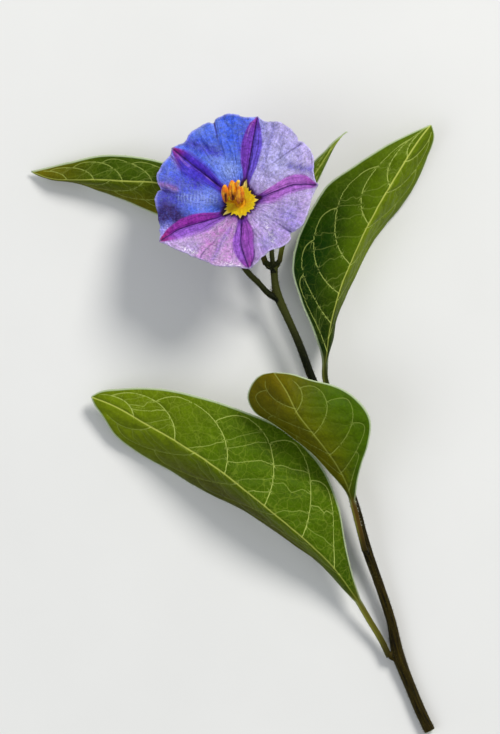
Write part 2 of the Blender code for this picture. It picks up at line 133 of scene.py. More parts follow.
# %% A finish, the material of one kind of surface
class Finish:
    """A material that is being put together, with its Principled shader."""

    def __init__(self, name, **constants):
        self.material = bpy.data.materials.new(name)
        self.material.use_nodes = True
        self.tree = self.material.node_tree
        self.shader = self.tree.nodes["Principled BSDF"]
        for socket, value in constants.items():
            put(self.shader.inputs[socket.replace("_", " ")], value)

    def node(self, kind, settings, inputs, output=0):
        made = self.tree.nodes.new("ShaderNode" + kind)
        for name, value in settings.items():
            setattr(made, name, value)
        for place, value in inputs.items():
            put(made.inputs[place], value)
        return Value(made.outputs[output])

    def mark(self, name):
        """A number that the mesh carries at each of its points."""
        return self.node("Attribute", {"attribute_name": name}, {}, "Fac")

    def mark_vector(self, name):
        return self.node("Attribute", {"attribute_name": name}, {}, "Vector")

    def place(self):
        return self.node("TexCoord", {}, {}, "Object")

    def scaled(self, vector, factors):
        return self.node("VectorMath", {"operation": "MULTIPLY"}, {0: vector, 1: factors})

    def noise(self, vector, size, detail=3.0, roughness=0.55):
        """Soft noise between 0 and 1. The size of its lumps is in the vector's own unit."""
        inputs = {"Vector": vector, "Scale": 1.0 / size, "Detail": detail, "Roughness": roughness}
        return self.node("TexNoise", {}, inputs, "Fac")

    def warped(self, vector, size, reach):
        """The vector, pushed about by noise so that straight things become wavy."""
        push = self.node("TexNoise", {}, {"Vector": vector, "Scale": 1.0 / size, "Detail": 2.0}, "Color")
        push = self.scaled(push, (reach, reach, reach))
        return self.node("VectorMath", {"operation": "ADD"}, {0: vector, 1: push})

    def net(self, vector, size, half_width):
        """A net of lines between cells: 1 on a line, 0 in a cell."""
        settings = {"feature": "DISTANCE_TO_EDGE"}
        edge = self.node("TexVoronoi", settings, {"Vector": vector, "Scale": 1.0 / size}, "Distance")
        return self.ramp(edge, 1.5 * half_width / size, 0.3 * half_width / size)

    def line(self, off, half_width):
        """1 on a line and 0 beside it, from how far off it a place is to either side."""
        return self.ramp(off.maths("ABSOLUTE", off), half_width * 1.5, half_width * 0.4)

    def ramp(self, value, low, high, start=0.0, end=1.0):
        """Goes smoothly from start to end as the value goes from low to high."""
        inputs = {"Value": value, "From Min": low, "From Max": high, "To Min": start, "To Max": end}
        return self.node("MapRange", {"interpolation_type": "SMOOTHSTEP"}, inputs)

    def mix(self, first, second, factor, blend="MIX"):
        settings = {"data_type": "RGBA", "blend_type": blend, "clamp_factor": True}
        return self.node("Mix", settings, {0: factor, 6: first, 7: second}, 2)

    def over(self, colour, *layers):
        """Lays colours over one another. A layer is a colour and how far it covers."""
        for top, cover in layers:
            colour = self.mix(colour, top, cover)
        return colour

    def shaded(self, colour, shade, blue_shade=None, cover=1.0):
        """The colour times a grey, or times a grey that keeps more of the blue."""
        blue_shade = shade if blue_shade is None else blue_shade
        grey = self.node("CombineColor", {}, {0: shade, 1: shade, 2: blue_shade})
        return self.mix(colour, grey, cover, "MULTIPLY")

    def bump(self, height, depth, strength=1.0):
        inputs = {"Height": height, "Distance": depth * MM, "Strength": strength}
        return self.node("Bump", {}, inputs)

    def finish(self, **varying):
        for socket, value in varying.items():
            put(self.shader.inputs[socket.replace("_", " ")], value)
        return self.material


# %% Colours as read off a screen
def srgb(red, green, blue):
    """A colour as read off a screen, 0 to 255, as the shader wants it."""
    shares = (red / 255, green / 255, blue / 255)
    return tuple(x / 12.92 if x <= 0.04045 else ((x + 0.055) / 1.055) ** 2.4 for x in shares)


print("a grey of 128 on the screen is", round(srgb(128, 128, 128)[0], 3), "to the shader")

# %% [markdown]
# ## The table and the light
# The sprig lies on a plain pale table. One large lamp from the upper right gives the leaves a
# lit and a shaded half, as in the photograph. A weaker one and a pale sky fill the shadows, so
# that the dark greens keep their detail.

# %% A pale table, faintly mottled like paper
TABLE_HALF = 2.0
PAPER_CLOUD = 0.03


def as_mesh(name, bm):
    """What was built with bmesh, as a mesh."""
    mesh = bpy.data.meshes.new(name)
    bm.to_mesh(mesh)
    bm.free()
    return mesh


paper = Finish("pale_paper", Roughness=0.9, Specular_IOR_Level=0.1)
cloudy = paper.noise(paper.place(), PAPER_CLOUD)
paper_colour = paper.mix(srgb(226, 226, 224), srgb(233, 233, 231), cloudy)
bm = bmesh.new()
bmesh.ops.create_grid(bm, x_segments=1, y_segments=1, size=TABLE_HALF)
table_mesh = as_mesh("table", bm)
table_mesh.materials.append(paper.finish(Base_Color=paper_colour))
table = linked("table", table_mesh)
print("table:", 2 * TABLE_HALF, "m wide")

# %% Soft lamps and sky
def lamp(name, place, width, power, colour):
    data = bpy.data.lights.new(name, "AREA")
    data.shape = "DISK"
    data.size = width
    data.energy = power
    data.color = colour
    obj = linked(name, data)
    obj.location = place
    obj.rotation_euler = (-Vector(place)).to_track_quat("-Z", "Y").to_euler()


lamp("key_lamp", (0.55, 0.75, 0.85), 0.45, 13.0, (1.0, 0.98, 0.94))
lamp("fill_lamp", (-0.8, -0.3, 0.9), 0.9, 3.0, (0.92, 0.96, 1.0))
sky = bpy.data.worlds.new("sky")
sky.use_nodes = True
background = sky.node_tree.nodes["Background"].inputs
background["Color"].default_value = (0.93, 0.96, 1.0, 1.0)
background["Strength"].default_value = 0.42
bpy.context.scene.world = sky
print("lamps: 2")

# %% [markdown]
# ## One way to make every skin: roll up a grid
# A leaf, a petal cup, a calyx and a stalk are all a sheet of points in rows. Each can start as a
# flat grid of squares whose points are then moved. Where the sheet goes right round, its first and
# last columns fall on each other and are merged, and the open ends are filled. Values that the
# finish needs, such as how near a vein is, are kept on the points as attributes.

# %% Roll a grid into a skin
WELD = 0.0005


def write_mark(mesh, key, values):
    """Keeps one number, or one vector, for each point of the mesh."""
    values = np.asarray(values, np.float32).reshape(len(mesh.vertices), -1)
    kind, field = ("FLOAT_VECTOR", "vector") if values.shape[1] == 3 else ("FLOAT", "value")
    mesh.attributes.new(key, kind, "POINT").data.foreach_set(field, values.ravel())


def rolled(name, points, marks, caps=True, second_finish_from=None):
    """A mesh from rows of points in millimetres. Its last column lies on its first one."""
    rows, columns = points.shape[:2]
    flat = points.reshape(-1, 3) * MM
    bm = bmesh.new()
    bmesh.ops.create_grid(bm, x_segments=columns - 1, y_segments=rows - 1, size=1.0)
    if second_finish_from is not None:
        limit = second_finish_from / (columns - 1) * 2 - 1
        for face in bm.faces:
            face.material_index = int(face.calc_center_median().x > limit)
    cell = bm.verts.layers.int.new("cell")
    for vert in bm.verts:
        column = round((vert.co.x + 1) / 2 * (columns - 1))
        row = round((vert.co.y + 1) / 2 * (rows - 1))
        vert[cell] = row * columns + column
        vert.co = flat[row * columns + column]
    bmesh.ops.remove_doubles(bm, verts=bm.verts[:], dist=WELD * MM)
    if caps:
        bmesh.ops.holes_fill(bm, edges=[edge for edge in bm.edges if edge.is_boundary])
    mesh = as_mesh(name, bm)
    index = np.empty(len(mesh.vertices), np.int32)
    mesh.attributes["cell"].data.foreach_get("value", index)
    mesh.attributes.remove(mesh.attributes["cell"])
    for key, values in marks.items():
        write_mark(mesh, key, values.reshape(rows * columns, -1)[index])
    mesh.shade_smooth()
    return mesh


# %% Turn a mesh into a piece of the sprig
def piece(name, mesh, materials, node=None):
    """The finished piece. It rides with the sprig and may stand for a plain solid."""
    for material in materials:
        mesh.materials.append(material)
    obj = linked(name, mesh)
    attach(obj, "root")
    if node:
        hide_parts(node)
    mesh.calc_loop_triangles()
    print(name, "has", len(mesh.loop_triangles), "triangles")
    return obj


# %% Curves through chosen points
def through(x, knots):
    """A smooth curve through (place, value) pairs, read at x."""
    places, values = np.array(knots, float).T
    slopes = np.gradient(values, places)
    x = np.clip(x, places[0], places[-1])
    i = np.clip(np.searchsorted(places, x) - 1, 0, len(places) - 2)
    span = places[i + 1] - places[i]
    t = (x - places[i]) / span
    start = (2 * t**3 - 3 * t**2 + 1) * values[i] + (t**3 - 2 * t**2 + t) * span * slopes[i]
    end = (3 * t**2 - 2 * t**3) * values[i + 1] + (t**3 - t**2) * span * slopes[i + 1]
    return start + end


def smooth_path(points, count):
    """Even samples of a smooth curve through points in space."""
    rows = np.array(points, float)
    steps = np.linalg.norm(np.diff(rows[:, :3], axis=0), axis=1)
    along = np.concatenate([[0.0], np.cumsum(steps)])
    wanted = np.linspace(0.0, along[-1], count)
    return np.stack([through(wanted, list(zip(along, column))) for column in rows.T], axis=1)


def unit(vectors):
    return vectors / np.linalg.norm(vectors, axis=-1, keepdims=True)


def step_up(x, low, high):
    """0 below low, 1 above high and a smooth rise between."""
    t = np.clip((x - low) / (high - low), 0.0, 1.0)
    return t * t * (3 - 2 * t)


def hump(x, width):
    return np.exp(-((x / width) ** 2))


def noise_at(points, size, shift=0.0):
    """Soft noise between -1 and 1 at each of the points, with lumps of this size."""
    flat = points.reshape(-1, 3) / size + shift
    values = [noise.noise(Vector(point)) for point in flat]
    return np.array(values).reshape(points.shape[:-1])


# %% [markdown]
# ## The leaves: midrib and margins
# Each leaf is described by three curves: its midrib and its two margins, all in millimetres. The
# blade hangs between them and sags towards its margins, so height falls off faster than width.
# The leaf stalk runs on from the midrib, which is why one sheet can hold stalk and blade.

# %% The five leaves
LEAVES = {
    "leaf_low": {
        "petiole_half_width": 0.52,
        "petiole": ((26.9, -39.3, 1.75), (25.5, -36.4, 1.9), (23.4, -32.9, 2.6), (21.5, -29.6, 3.4)),
        "midrib": (
            (21.5, -29.6, 3.4), (17.0, -23.5, 5.8), (11.5, -18.3, 8.0), (5.2, -13.0, 9.2),
            (-1.4, -7.7, 9.0), (-8.1, -3.2, 7.4), (-14.8, 0.7, 5.2), (-20.6, 3.9, 3.5),
            (-24.2, 5.3, 2.6),
        ),
        "left": (
            (19.3, -28.1, 2.9), (15.0, -23.5, 2.1), (8.2, -18.5, 0.8), (1.3, -14.0, -0.3),
            (-5.6, -10.6, -0.3), (-11.6, -7.0, 0.7), (-17.1, -3.8, 1.5), (-20.3, -1.1, 2.1),
            (-22.2, 1.8, 2.5), (-23.7, 3.9, 2.6),
        ),
        "right": (
            (21.0, -26.6, 3.3), (19.4, -20.2, 4.3), (18.0, -12.9, 5.9), (14.6, -5.6, 6.9), (8.6, -0.1, 7.3),
            (1.3, 3.1, 7.0), (-5.5, 5.3, 6.2), (-12.4, 6.7, 5.0), (-18.9, 6.7, 3.7), (-23.0, 6.1, 2.9),
        ),
    },
    "leaf_front": {
        "petiole_half_width": 0.5,
        "petiole": ((22.6, -21.0, 4.95), (21.5, -16.7, 5.7), (20.9, -14.3, 6.5), (20.4, -12.4, 7.3)),
        "midrib": (
            (20.4, -12.4, 7.3), (19.3, -9.3, 9.2), (17.4, -5.8, 11.6), (13.6, -0.8, 14.2),
            (11.1, 2.4, 15.1), (9.1, 6.3, 15.0), (7.0, 9.5, 13.8),
        ),
        "left": (
            (19.6, -11.5, 7.3), (18.3, -9.6, 8.2), (16.6, -7.7, 8.9), (13.5, -4.3, 9.6), (10.1, -1.6, 9.8),
            (6.4, 1.1, 9.8), (3.7, 2.8, 10.0), (2.6, 4.9, 10.6), (3.2, 7.4, 11.8), (4.9, 9.1, 13.0),
        ),
        "right": (
            (21.0, -11.3, 7.3), (21.3, -8.9, 8.6), (22.0, -5.8, 10.2), (23.0, -2.7, 11.4),
            (23.3, 1.7, 12.1), (21.1, 5.0, 12.6), (17.3, 7.2, 13.0), (13.1, 8.3, 13.4),
            (9.7, 9.3, 13.7),
        ),
    },
    "leaf_upper_right": {
        "petiole_half_width": 0.5,
        "petiole": ((17.3, 3.0, 4.9), (16.4, 6.3, 5.1), (15.8, 8.7, 5.4), (15.8, 10.9, 5.8)),
        "midrib": (
            (15.8, 10.9, 5.8), (16.8, 17.7, 7.2), (18.5, 24.0, 8.3), (21.0, 30.1, 8.8), (24.6, 37.4, 8.8),
            (28.4, 43.8, 7.3), (31.7, 49.0, 5.6), (33.9, 51.8, 4.2),
        ),
        "left": (
            (15.2, 12.1, 5.8), (14.1, 15.7, 6.3), (11.7, 21.7, 6.5), (10.2, 27.5, 6.5), (11.0, 31.9, 6.5),
            (13.2, 36.8, 6.6), (15.9, 41.1, 6.6), (20.9, 44.8, 6.6), (26.0, 48.1, 6.1), (31.0, 50.6, 4.9),
        ),
        "right": (
            (16.4, 12.1, 5.6), (17.2, 14.9, 4.6), (17.7, 18.1, 2.9), (19.3, 22.1, 1.2), (21.6, 26.9, -0.3),
            (24.5, 32.4, -0.3), (28.8, 37.7, 0.7), (30.8, 40.6, 1.3), (33.5, 46.4, 2.4), (34.5, 50.3, 3.6),
        ),
    },
    "leaf_upper_left": {
        "petiole_half_width": 0.5,
        "petiole": ((5.7, 28.0, 4.75), (4.4, 31.4, 4.2), (1.8, 34.3, 4.0), (-0.6, 36.2, 4.1)),
        "midrib": (
            (-0.6, 36.2, 4.1), (-5.5, 38.9, 5.0), (-9.3, 40.7, 5.5), (-12.9, 41.8, 5.8), (-17.5, 42.1, 5.4),
            (-22.6, 42.4, 4.6), (-26.9, 42.4, 3.7), (-31.3, 42.7, 2.4), (-34.6, 43.9, 1.0),
        ),
        "left": (
            (-2.5, 35.4, 4.0), (-6.1, 34.7, 3.8), (-9.8, 35.2, 3.5), (-12.9, 36.4, 3.2), (-17.6, 38.5, 2.2),
            (-22.8, 40.6, 0.7), (-27.9, 42.3, -0.3), (-32.2, 42.9, 0.2),
        ),
        "right": (
            (-1.8, 37.6, 4.0), (-4.7, 41.2, 4.3), (-7.9, 44.1, 4.7), (-11.5, 45.3, 4.9), (-16.6, 46.4, 4.5),
            (-22.7, 46.6, 3.7), (-27.8, 45.6, 2.7), (-32.3, 44.5, 1.5),
        ),
    },
    "leaf_small": {
        "petiole_half_width": 0.42,
        "petiole": ((8.0, 28.3, 5.75), (8.5, 30.9, 6.1), (9.1, 33.2, 6.6), (9.8, 34.9, 6.9)),
        "midrib": (
            (9.8, 34.9, 6.9), (11.2, 38.0, 7.4), (12.9, 41.4, 8.0), (14.7, 44.2, 8.4), (16.4, 46.8, 8.4),
            (18.0, 48.8, 8.2), (19.5, 50.4, 7.8),
        ),
        "left": (
            (9.8, 36.1, 6.9), (10.8, 40.0, 7.1), (12.5, 43.6, 7.2), (14.2, 45.8, 7.5), (15.8, 47.3, 7.8),
            (17.1, 48.7, 7.9), (18.5, 49.8, 7.9),
        ),
        "right": (
            (10.8, 36.0, 6.8), (12.7, 39.0, 6.9), (14.4, 41.6, 7.0), (15.8, 44.6, 7.0), (16.6, 46.3, 7.2),
            (17.6, 48.2, 7.5), (18.8, 49.7, 7.8),
        ),
    },
}
print("leaves:", len(LEAVES))

# %% The middle surface of a leaf
ARCH = 1.35
TIP_HALF_WIDTH = 0.15
POINT_SPACING = 0.19


class Blade:
    """The middle surface of a leaf. Along, 0 is where the blade starts and 1 its tip, and the
    stalk is below 0. Across, -1 is the left margin and 1 the right one."""

    def __init__(self, leaf):
        half = leaf["petiole_half_width"]
        length = np.linalg.norm(np.diff(leaf["midrib"], axis=0), axis=1).sum()
        stalk = np.linalg.norm(np.diff(leaf["petiole"], axis=0), axis=1).sum()
        self.length = length
        self.stalk_rows = int(stalk / POINT_SPACING)
        self.blade_rows = int(length / POINT_SPACING)
        stem_side = smooth_path(leaf["petiole"], self.stalk_rows)
        side = self.level_side(stem_side) * half
        middle = smooth_path(leaf["midrib"], self.blade_rows)
        base_side = self.level_side(middle)[0] * half
        tip_side = unit(np.subtract(leaf["left"][-1], leaf["right"][-1])) * TIP_HALF_WIDTH
        left = (middle[0] + base_side, *leaf["left"], middle[-1] + tip_side)
        right = (middle[0] - base_side, *leaf["right"], middle[-1] - tip_side)
        self.middle = np.concatenate([stem_side[:-1], middle])
        self.left = np.concatenate([(stem_side + side)[:-1], smooth_path(left, self.blade_rows)])
        self.right = np.concatenate([(stem_side - side)[:-1], smooth_path(right, self.blade_rows)])
        before = -np.linspace(stalk / length, 0.0, self.stalk_rows)[:-1]
        self.along = np.concatenate([before, np.linspace(0.0, 1.0, self.blade_rows)])

    @staticmethod
    def level_side(path):
        ahead = np.gradient(path, axis=0)
        return unit(np.stack([-ahead[:, 1], ahead[:, 0], np.zeros(len(path))], axis=1))

    def at(self, along, across):
        """Points of the surface for arrays of places along and across it."""
        def read(curve):
            return np.stack([np.interp(along, self.along, curve[:, k]) for k in range(3)], axis=-1)

        middle = read(self.middle)
        margin = np.where(np.asarray(across)[..., None] < 0, read(self.left), read(self.right))
        share = np.abs(across)[..., None] * np.ones(3)
        share[..., 2] = np.abs(across) ** ARCH
        return middle + (margin - middle) * share


blades = {name: Blade(leaf) for name, leaf in LEAVES.items()}
for name, blade in blades.items():
    print(name, "blade length", round(blade.length, 1), "mm")

# %% [markdown]
# ## Veins
# A leaf of this bush has a pale midrib. Strong side veins leave it, sweep towards the tip and
# loop into the next one before they reach the margin. Kinked cross veins join them like the rungs
# of a ladder, and a net of fine veins fills the rest. The veins are drawn on the blade as lines
# of points, and each point of the skin then asks how far away the nearest vein is.

# %% Where the side veins leave the midrib, and how far across they reach
SIDE_VEINS = {
    "leaf_low": {
        -1: ((0.10, 0.74), (0.22, 0.8), (0.36, 0.82), (0.50, 0.8), (0.65, 0.74), (0.80, 0.64)),
        1: ((0.124, 0.84), (0.258, 0.86), (0.40, 0.85), (0.545, 0.82), (0.72, 0.74), (0.86, 0.6)),
    },
    "leaf_front": {
        -1: ((0.20, 0.8), (0.38, 0.84), (0.56, 0.76), (0.74, 0.6)),
        1: ((0.08, 0.7), (0.22, 0.8), (0.37, 0.82), (0.54, 0.74), (0.72, 0.56)),
    },
    "leaf_upper_right": {
        -1: ((0.05, 0.84), (0.155, 0.8), (0.27, 0.74), (0.385, 0.68), (0.547, 0.58), (0.71, 0.52),
             (0.84, 0.45)),
        1: ((0.10, 0.7), (0.24, 0.76), (0.38, 0.78), (0.53, 0.76), (0.68, 0.7), (0.82, 0.6)),
    },
    "leaf_upper_left": {
        -1: ((0.12, 0.7), (0.28, 0.74), (0.44, 0.72), (0.60, 0.66)),
        1: ((0.10, 0.7), (0.25, 0.76), (0.40, 0.78), (0.54, 0.76), (0.68, 0.7), (0.81, 0.6)),
    },
    "leaf_small": {
        -1: ((0.15, 0.6), (0.35, 0.68), (0.55, 0.66), (0.74, 0.6)),
        1: ((0.20, 0.6), (0.40, 0.68), (0.60, 0.66), (0.78, 0.6)),
    },
}
# The length of a blade over half its width
BLADE_ASPECT = 5.5
# How strongly the side veins, the fine net and the midrib stand out in colour
VEIN_CONTRAST = {
    "leaf_low": (0.95, 0.9, 1.0), "leaf_front": (0.34, 0.1, 0.4), "leaf_upper_right": (0.75, 0.25, 0.95),
    "leaf_upper_left": (0.5, 0.4, 0.9), "leaf_small": (0.5, 0.3, 0.6),
}
# How many gaps between side veins each one sweeps forward, on the left and on the right half
SWEEPS = {
    "leaf_low": {-1: 1.2, 1: 1.15}, "leaf_front": {-1: 1.2, 1: 1.2}, "leaf_upper_right": {-1: 1.9, 1: 1.5},
    "leaf_upper_left": {-1: 1.5, 1: 1.4}, "leaf_small": {-1: 1.3, 1: 1.3},
}
VEIN_STEPS = 60
LINE_POINTS = 30
# How many steps past its nearest place a side vein runs on before it meets the next one
LOOP_ADVANCE = 8


def side_vein(start, reach, gap, sweep):
    """One side vein as places along and across: out, forward and round towards the next one."""
    s = np.linspace(0.0, 1.0, VEIN_STEPS)
    across = 1.06 * reach * (1 - (1 - s) ** (0.8 + 0.4 * sweep))
    along = start + gap * sweep * (0.35 * s + 0.65 * s**2.2)
    return along, across


def loop(along, across, next_along, next_across, side):
    """The end of a side vein, bent over smoothly into the next side vein."""
    first = np.array((along[-1] * BLADE_ASPECT, across[-1]))
    way = first - (along[-6] * BLADE_ASPECT, across[-6])
    away = np.hypot(next_along * BLADE_ASPECT - first[0], next_across - first[1])
    end = min(int(np.argmin(away)) + LOOP_ADVANCE, VEIN_STEPS - 1)
    last = np.array((next_along[end] * BLADE_ASPECT, next_across[end]))
    middle = first + way / np.linalg.norm(way) * np.linalg.norm(last - first) * 0.55
    s = np.linspace(0.0, 1.0, LINE_POINTS)[:, None]
    bend = first * (1 - s) ** 2 + middle * 2 * s * (1 - s) + last * s**2
    return bend[:, 0] / BLADE_ASPECT, side * bend[:, 1]


for name, sides in SIDE_VEINS.items():
    print(name, "side veins on the left and right half:", len(sides[-1]), len(sides[1]))

# %% Draw all the veins of a leaf
# Where cross veins leave a side vein, as shares of its length, and how far they stray from a line
RUNG_SHARES = (0.22, 0.38, 0.54, 0.7, 0.86)
RUNG_SHIFT = 0.09
RUNG_JOLT = 0.06
RUNG_KINKS = 5
# How many steps lie at least between the far ends of two cross veins
RUNG_SPACING = 6
MIDRIB_STEPS = 12
LOOP_STRENGTH = 0.68
rng = np.random.default_rng(7)


def rung(start, end):
    """A kinked cross vein between two places, each along and across."""
    kinks = np.linspace(0.0, 1.0, RUNG_KINKS)
    jolts = rng.uniform(-RUNG_JOLT, RUNG_JOLT, (2, RUNG_KINKS)) * np.sin(math.pi * kinks)
    s = np.linspace(0.0, 1.0, LINE_POINTS)
    along = start[0] + (end[0] - start[0]) * s + np.interp(s, kinks, jolts[0]) / BLADE_ASPECT
    return along, start[1] + (end[1] - start[1]) * s + np.interp(s, kinks, jolts[1])


def vein_lines(name):
    """Lists of (along, across, strength) arrays, one for each vein of the leaf."""
    lines = []

    def draw(along, across, strength):
        lines.append((along, across, np.broadcast_to(strength, along.shape)))

    contrast = 0.04 + 0.54 * VEIN_CONTRAST[name][1] ** 0.7
    for side, veins in SIDE_VEINS[name].items():
        gaps = np.diff([start for start, _ in veins] + [1.0])
        gaps[-1] = min(gaps[-1], 0.7 * gaps[-2])
        routes = [side_vein(*vein, gap, SWEEPS[name][side]) for vein, gap in zip(veins, gaps)]
        for along, across in routes:
            draw(along, side * across, np.linspace(1.0, 0.7, VEIN_STEPS))
        for (along, across), (next_along, next_across) in zip(routes, routes[1:]):
            draw(*loop(along, across, next_along, next_across, side), LOOP_STRENGTH)
            # Each cross vein goes to the nearest place on the midrib or on the next side vein that
            # lies further out than the one before
            midrib = np.linspace(along[0] + 0.45 * (next_along[0] - along[0]), next_along[0], MIDRIB_STEPS)
            far_along = np.concatenate([midrib, next_along])
            far_across = np.concatenate([np.zeros(MIDRIB_STEPS), next_across])
            end = -RUNG_SPACING
            for share in RUNG_SHARES:
                share = min(1.0, share + rng.uniform(-RUNG_SHIFT, RUNG_SHIFT))
                start = int((VEIN_STEPS - 1) * share)
                away = np.hypot((far_along - along[start]) * BLADE_ASPECT, far_across - across[start])
                first = end + RUNG_SPACING
                end = min(first + int(np.argmin(away[first:])), len(away) - 1 - RUNG_SPACING)
                line = rung((along[start], across[start]), (far_along[end], far_across[end]))
                strength = rng.uniform(0.3, 1.0) * rng.choice((0.12, 1.0), p=(0.25, 0.75))
                draw(line[0], side * line[1], strength * contrast)
    return lines


# %% Find the nearest of many places
def nearest(points, targets):
    """For each point, its nearest target and the distance to it."""
    tree = kdtree.KDTree(len(targets))
    for index, target in enumerate(targets):
        tree.insert(target, index)
    tree.balance()
    found = [tree.find(point)[1:] for point in points.reshape(-1, 3)]
    index, distance = np.array(found).T
    return index.astype(int).reshape(points.shape[:-1]), distance.reshape(points.shape[:-1])


# %% Measure the veins on the skin
VEIN_RELIEF_WIDTH = 0.24
RIB_RELIEF_WIDTH = 0.34


def vein_marks(name, blade, along, across, points, normal):
    """How far each point is off the nearest vein. The sign tells on which side of it the point
    lies, so that the finish can draw a line much finer than the mesh."""
    lines = vein_lines(name)
    drawn = [blade.at(line[0], line[1]) for line in lines]
    ahead = np.concatenate([np.gradient(line, axis=0) for line in drawn])
    strength = np.concatenate([line[2] for line in lines])
    targets = np.concatenate(drawn)
    index, distance = nearest(points, targets)
    side = np.sign((np.cross(ahead[index], points - targets[index]) * normal).sum(axis=-1))
    middle = blade.at(along, np.zeros_like(across))
    from_rib = np.linalg.norm(points - middle, axis=-1)
    margin = blade.at(along, np.where(across < 0, -1.0, 1.0))
    rib_width = RIB_RELIEF_WIDTH * (1.15 - 0.6 * np.clip(along, 0, 1))
    off_rib = from_rib * np.sign(across)
    return {
        "vein": strength[index] * hump(distance, VEIN_RELIEF_WIDTH) * step_up(along, -0.02, 0.03),
        "vein_off": side * np.minimum(distance, 2.0),
        "vein_strength": strength[index] * hump(distance, 0.6) * step_up(along, -0.02, 0.03),
        "rib": hump(from_rib, rib_width),
        "rib_off": off_rib,
        "near_vein": np.minimum(distance, from_rib),
        "from_rib": from_rib,
        "from_margin": np.linalg.norm(points - margin, axis=-1),
        "flat": np.stack([along * blade.length, off_rib, np.zeros_like(along)], axis=-1),
    }


# %% [markdown]
# ## The skin of a leaf
# The upper skin is quilted: it is drawn down along the veins and swells between them. Below, the
# veins and the midrib stand proud, and the midrib grows into the round stalk. The margin is thin
# and slightly wavy. Because all of this is in the mesh, the light finds it from every side.

# %% Shape one leaf
HALF_THICKNESS = 0.14
QUILT = 0.26
RIB_RADIUS = ((-1.0, 0.5), (-0.05, 0.48), (0.1, 0.42), (0.5, 0.3), (0.9, 0.16), (1.0, 0.1))
MARGIN_WAVE = 0.16
BIG_LUMPS = 0.16
SMALL_LUMPS = 0.09
RIB_CHANNEL = 0.13
VEIN_CHANNEL = 0.1
VEIN_RIDGE = 0.18
STALK_TOP = 0.3
THINNEST = 0.05


def leaf_columns(blade):
    widest = np.linalg.norm(blade.left - blade.right, axis=1).max()
    inner = np.linspace(-1.0, 1.0, int(widest * 1.12 / POINT_SPACING) // 2 * 2 + 1)
    # The outermost columns crowd a little towards the margin
    return np.sign(inner) * (1 - (1 - np.abs(inner)) ** 1.12)


def leaf_skin(name):
    blade = blades[name]
    columns = leaf_columns(blade)
    along, across = np.meshgrid(blade.along, columns, indexing="ij")
    points = blade.at(along, across)
    normal = unit(np.cross(np.gradient(points, axis=1), np.gradient(points, axis=0)))
    normal *= np.sign(normal[..., 2].mean())
    row_normal = unit(normal.mean(axis=1, keepdims=True)) * np.ones_like(normal)
    row_normal[-1] = row_normal[-2]
    marks = vein_marks(name, blade, along, across, points, row_normal)
    on_blade = step_up(along, -0.02, 0.12)
    rib_radius = through(along, RIB_RADIUS)
    rounding = np.sqrt(np.clip(1 - np.abs(across) ** 6, 0, 1)) * 0.8 + 0.2
    rounding *= np.clip(marks["from_margin"] / 0.25, 0.25, 1) * on_blade + (1 - on_blade)
    swell = QUILT * (1 - hump(marks["near_vein"], 0.9)) * step_up(marks["from_margin"], 0.0, 2.0)
    lumps = BIG_LUMPS * noise_at(points, 5.0) + SMALL_LUMPS * noise_at(points, 1.6, 9.0)
    waves = MARGIN_WAVE * noise_at(points, 3.2, 31.0) * (1 - step_up(marks["from_margin"], 0.0, 2.2))
    relief = (swell + lumps + waves) * on_blade
    channel = RIB_CHANNEL * marks["rib"] + VEIN_CHANNEL * marks["vein"]
    stalk_top = STALK_TOP * np.sqrt(np.clip(1 - across**2, 0, 1)) * (1 - on_blade)
    upper = points + row_normal * (HALF_THICKNESS * rounding + relief - channel + stalk_top)[..., None]
    bulge = np.sqrt(np.clip(rib_radius**2 - marks["from_rib"] ** 2, 0, None)) * 1.1
    raised = VEIN_RIDGE * marks["vein"] * on_blade
    lower = points - row_normal * (HALF_THICKNESS * rounding - relief + bulge + raised)[..., None]
    lower[..., 2] = np.maximum(lower[..., 2], 0.0)
    upper[..., 2] = np.maximum(upper[..., 2], lower[..., 2] + THINNEST)
    return along, across, marks, upper, lower


# %% [markdown]
# ## Leaf green
# No leaf is one green. This one is more yellow towards its tip and along its midrib, and mottled
# between the veins. Its two halves get different greens, painted light and painted shade: darker
# where the blade turns away from the light, lighter where it faces it. The margin carries a fine pale
# line, a painted highlight of the light on its thin hairy edge. The underside is duller and greyer.
# Two finishes are enough, made anew for each leaf from its own few greens.

# %% The greens of the five leaves
# The left and right greens of each leaf hold painted light and painted shade: the half turned away from the
# light is given the darker green.
LOOKS = {
    "leaf_low": {
        "left": srgb(82, 86, 16), "right": srgb(80, 110, 0), "inner": srgb(96, 116, 2),
        "tip": srgb(122, 142, 8), "stalk": srgb(92, 86, 26), "tip_range": (0.5, 0.95), "left_veins": 0.4,
    },
    "leaf_front": {
        "left": srgb(98, 96, 0), "right": srgb(72, 104, 0), "inner": srgb(104, 102, 0),
        "tip": srgb(112, 98, 0), "stalk": srgb(82, 60, 20), "turn": (-0.45, 0.95),
    },
    "leaf_upper_right": {
        "left": srgb(22, 58, 0), "right": srgb(126, 148, 10), "inner": srgb(88, 116, 0),
        "tip": srgb(92, 116, 0), "stalk": srgb(50, 54, 18), "tip_range": (0.38, 0.86),
        "dark_base": (0.55, 1.0),
    },
    "leaf_upper_left": {
        "left": srgb(112, 106, 0), "right": srgb(64, 88, 0), "inner": srgb(88, 104, 0),
        "tip": srgb(124, 112, 6), "stalk": srgb(84, 88, 24),
    },
    "leaf_small": {
        "left": srgb(84, 118, 4), "right": srgb(96, 124, 8), "inner": srgb(90, 116, 4),
        "tip": srgb(104, 128, 10), "stalk": srgb(84, 94, 26),
    },
}
# Unless a leaf says otherwise: where across it, from -1 to 1, one half's green turns into the
# other's, where along it the green of the tip starts and is full, how far up the dark of its base
# reaches and how strong it is, and how much of the veins' contrast is left on the left half
USUAL_LOOK = {"turn": (-0.03, 0.06), "tip_range": (0.62, 1.0), "dark_base": (0.24, 0.55), "left_veins": 1.0}
BARK_BROWN = srgb(42, 36, 10)
print("looks:", len(LOOKS))

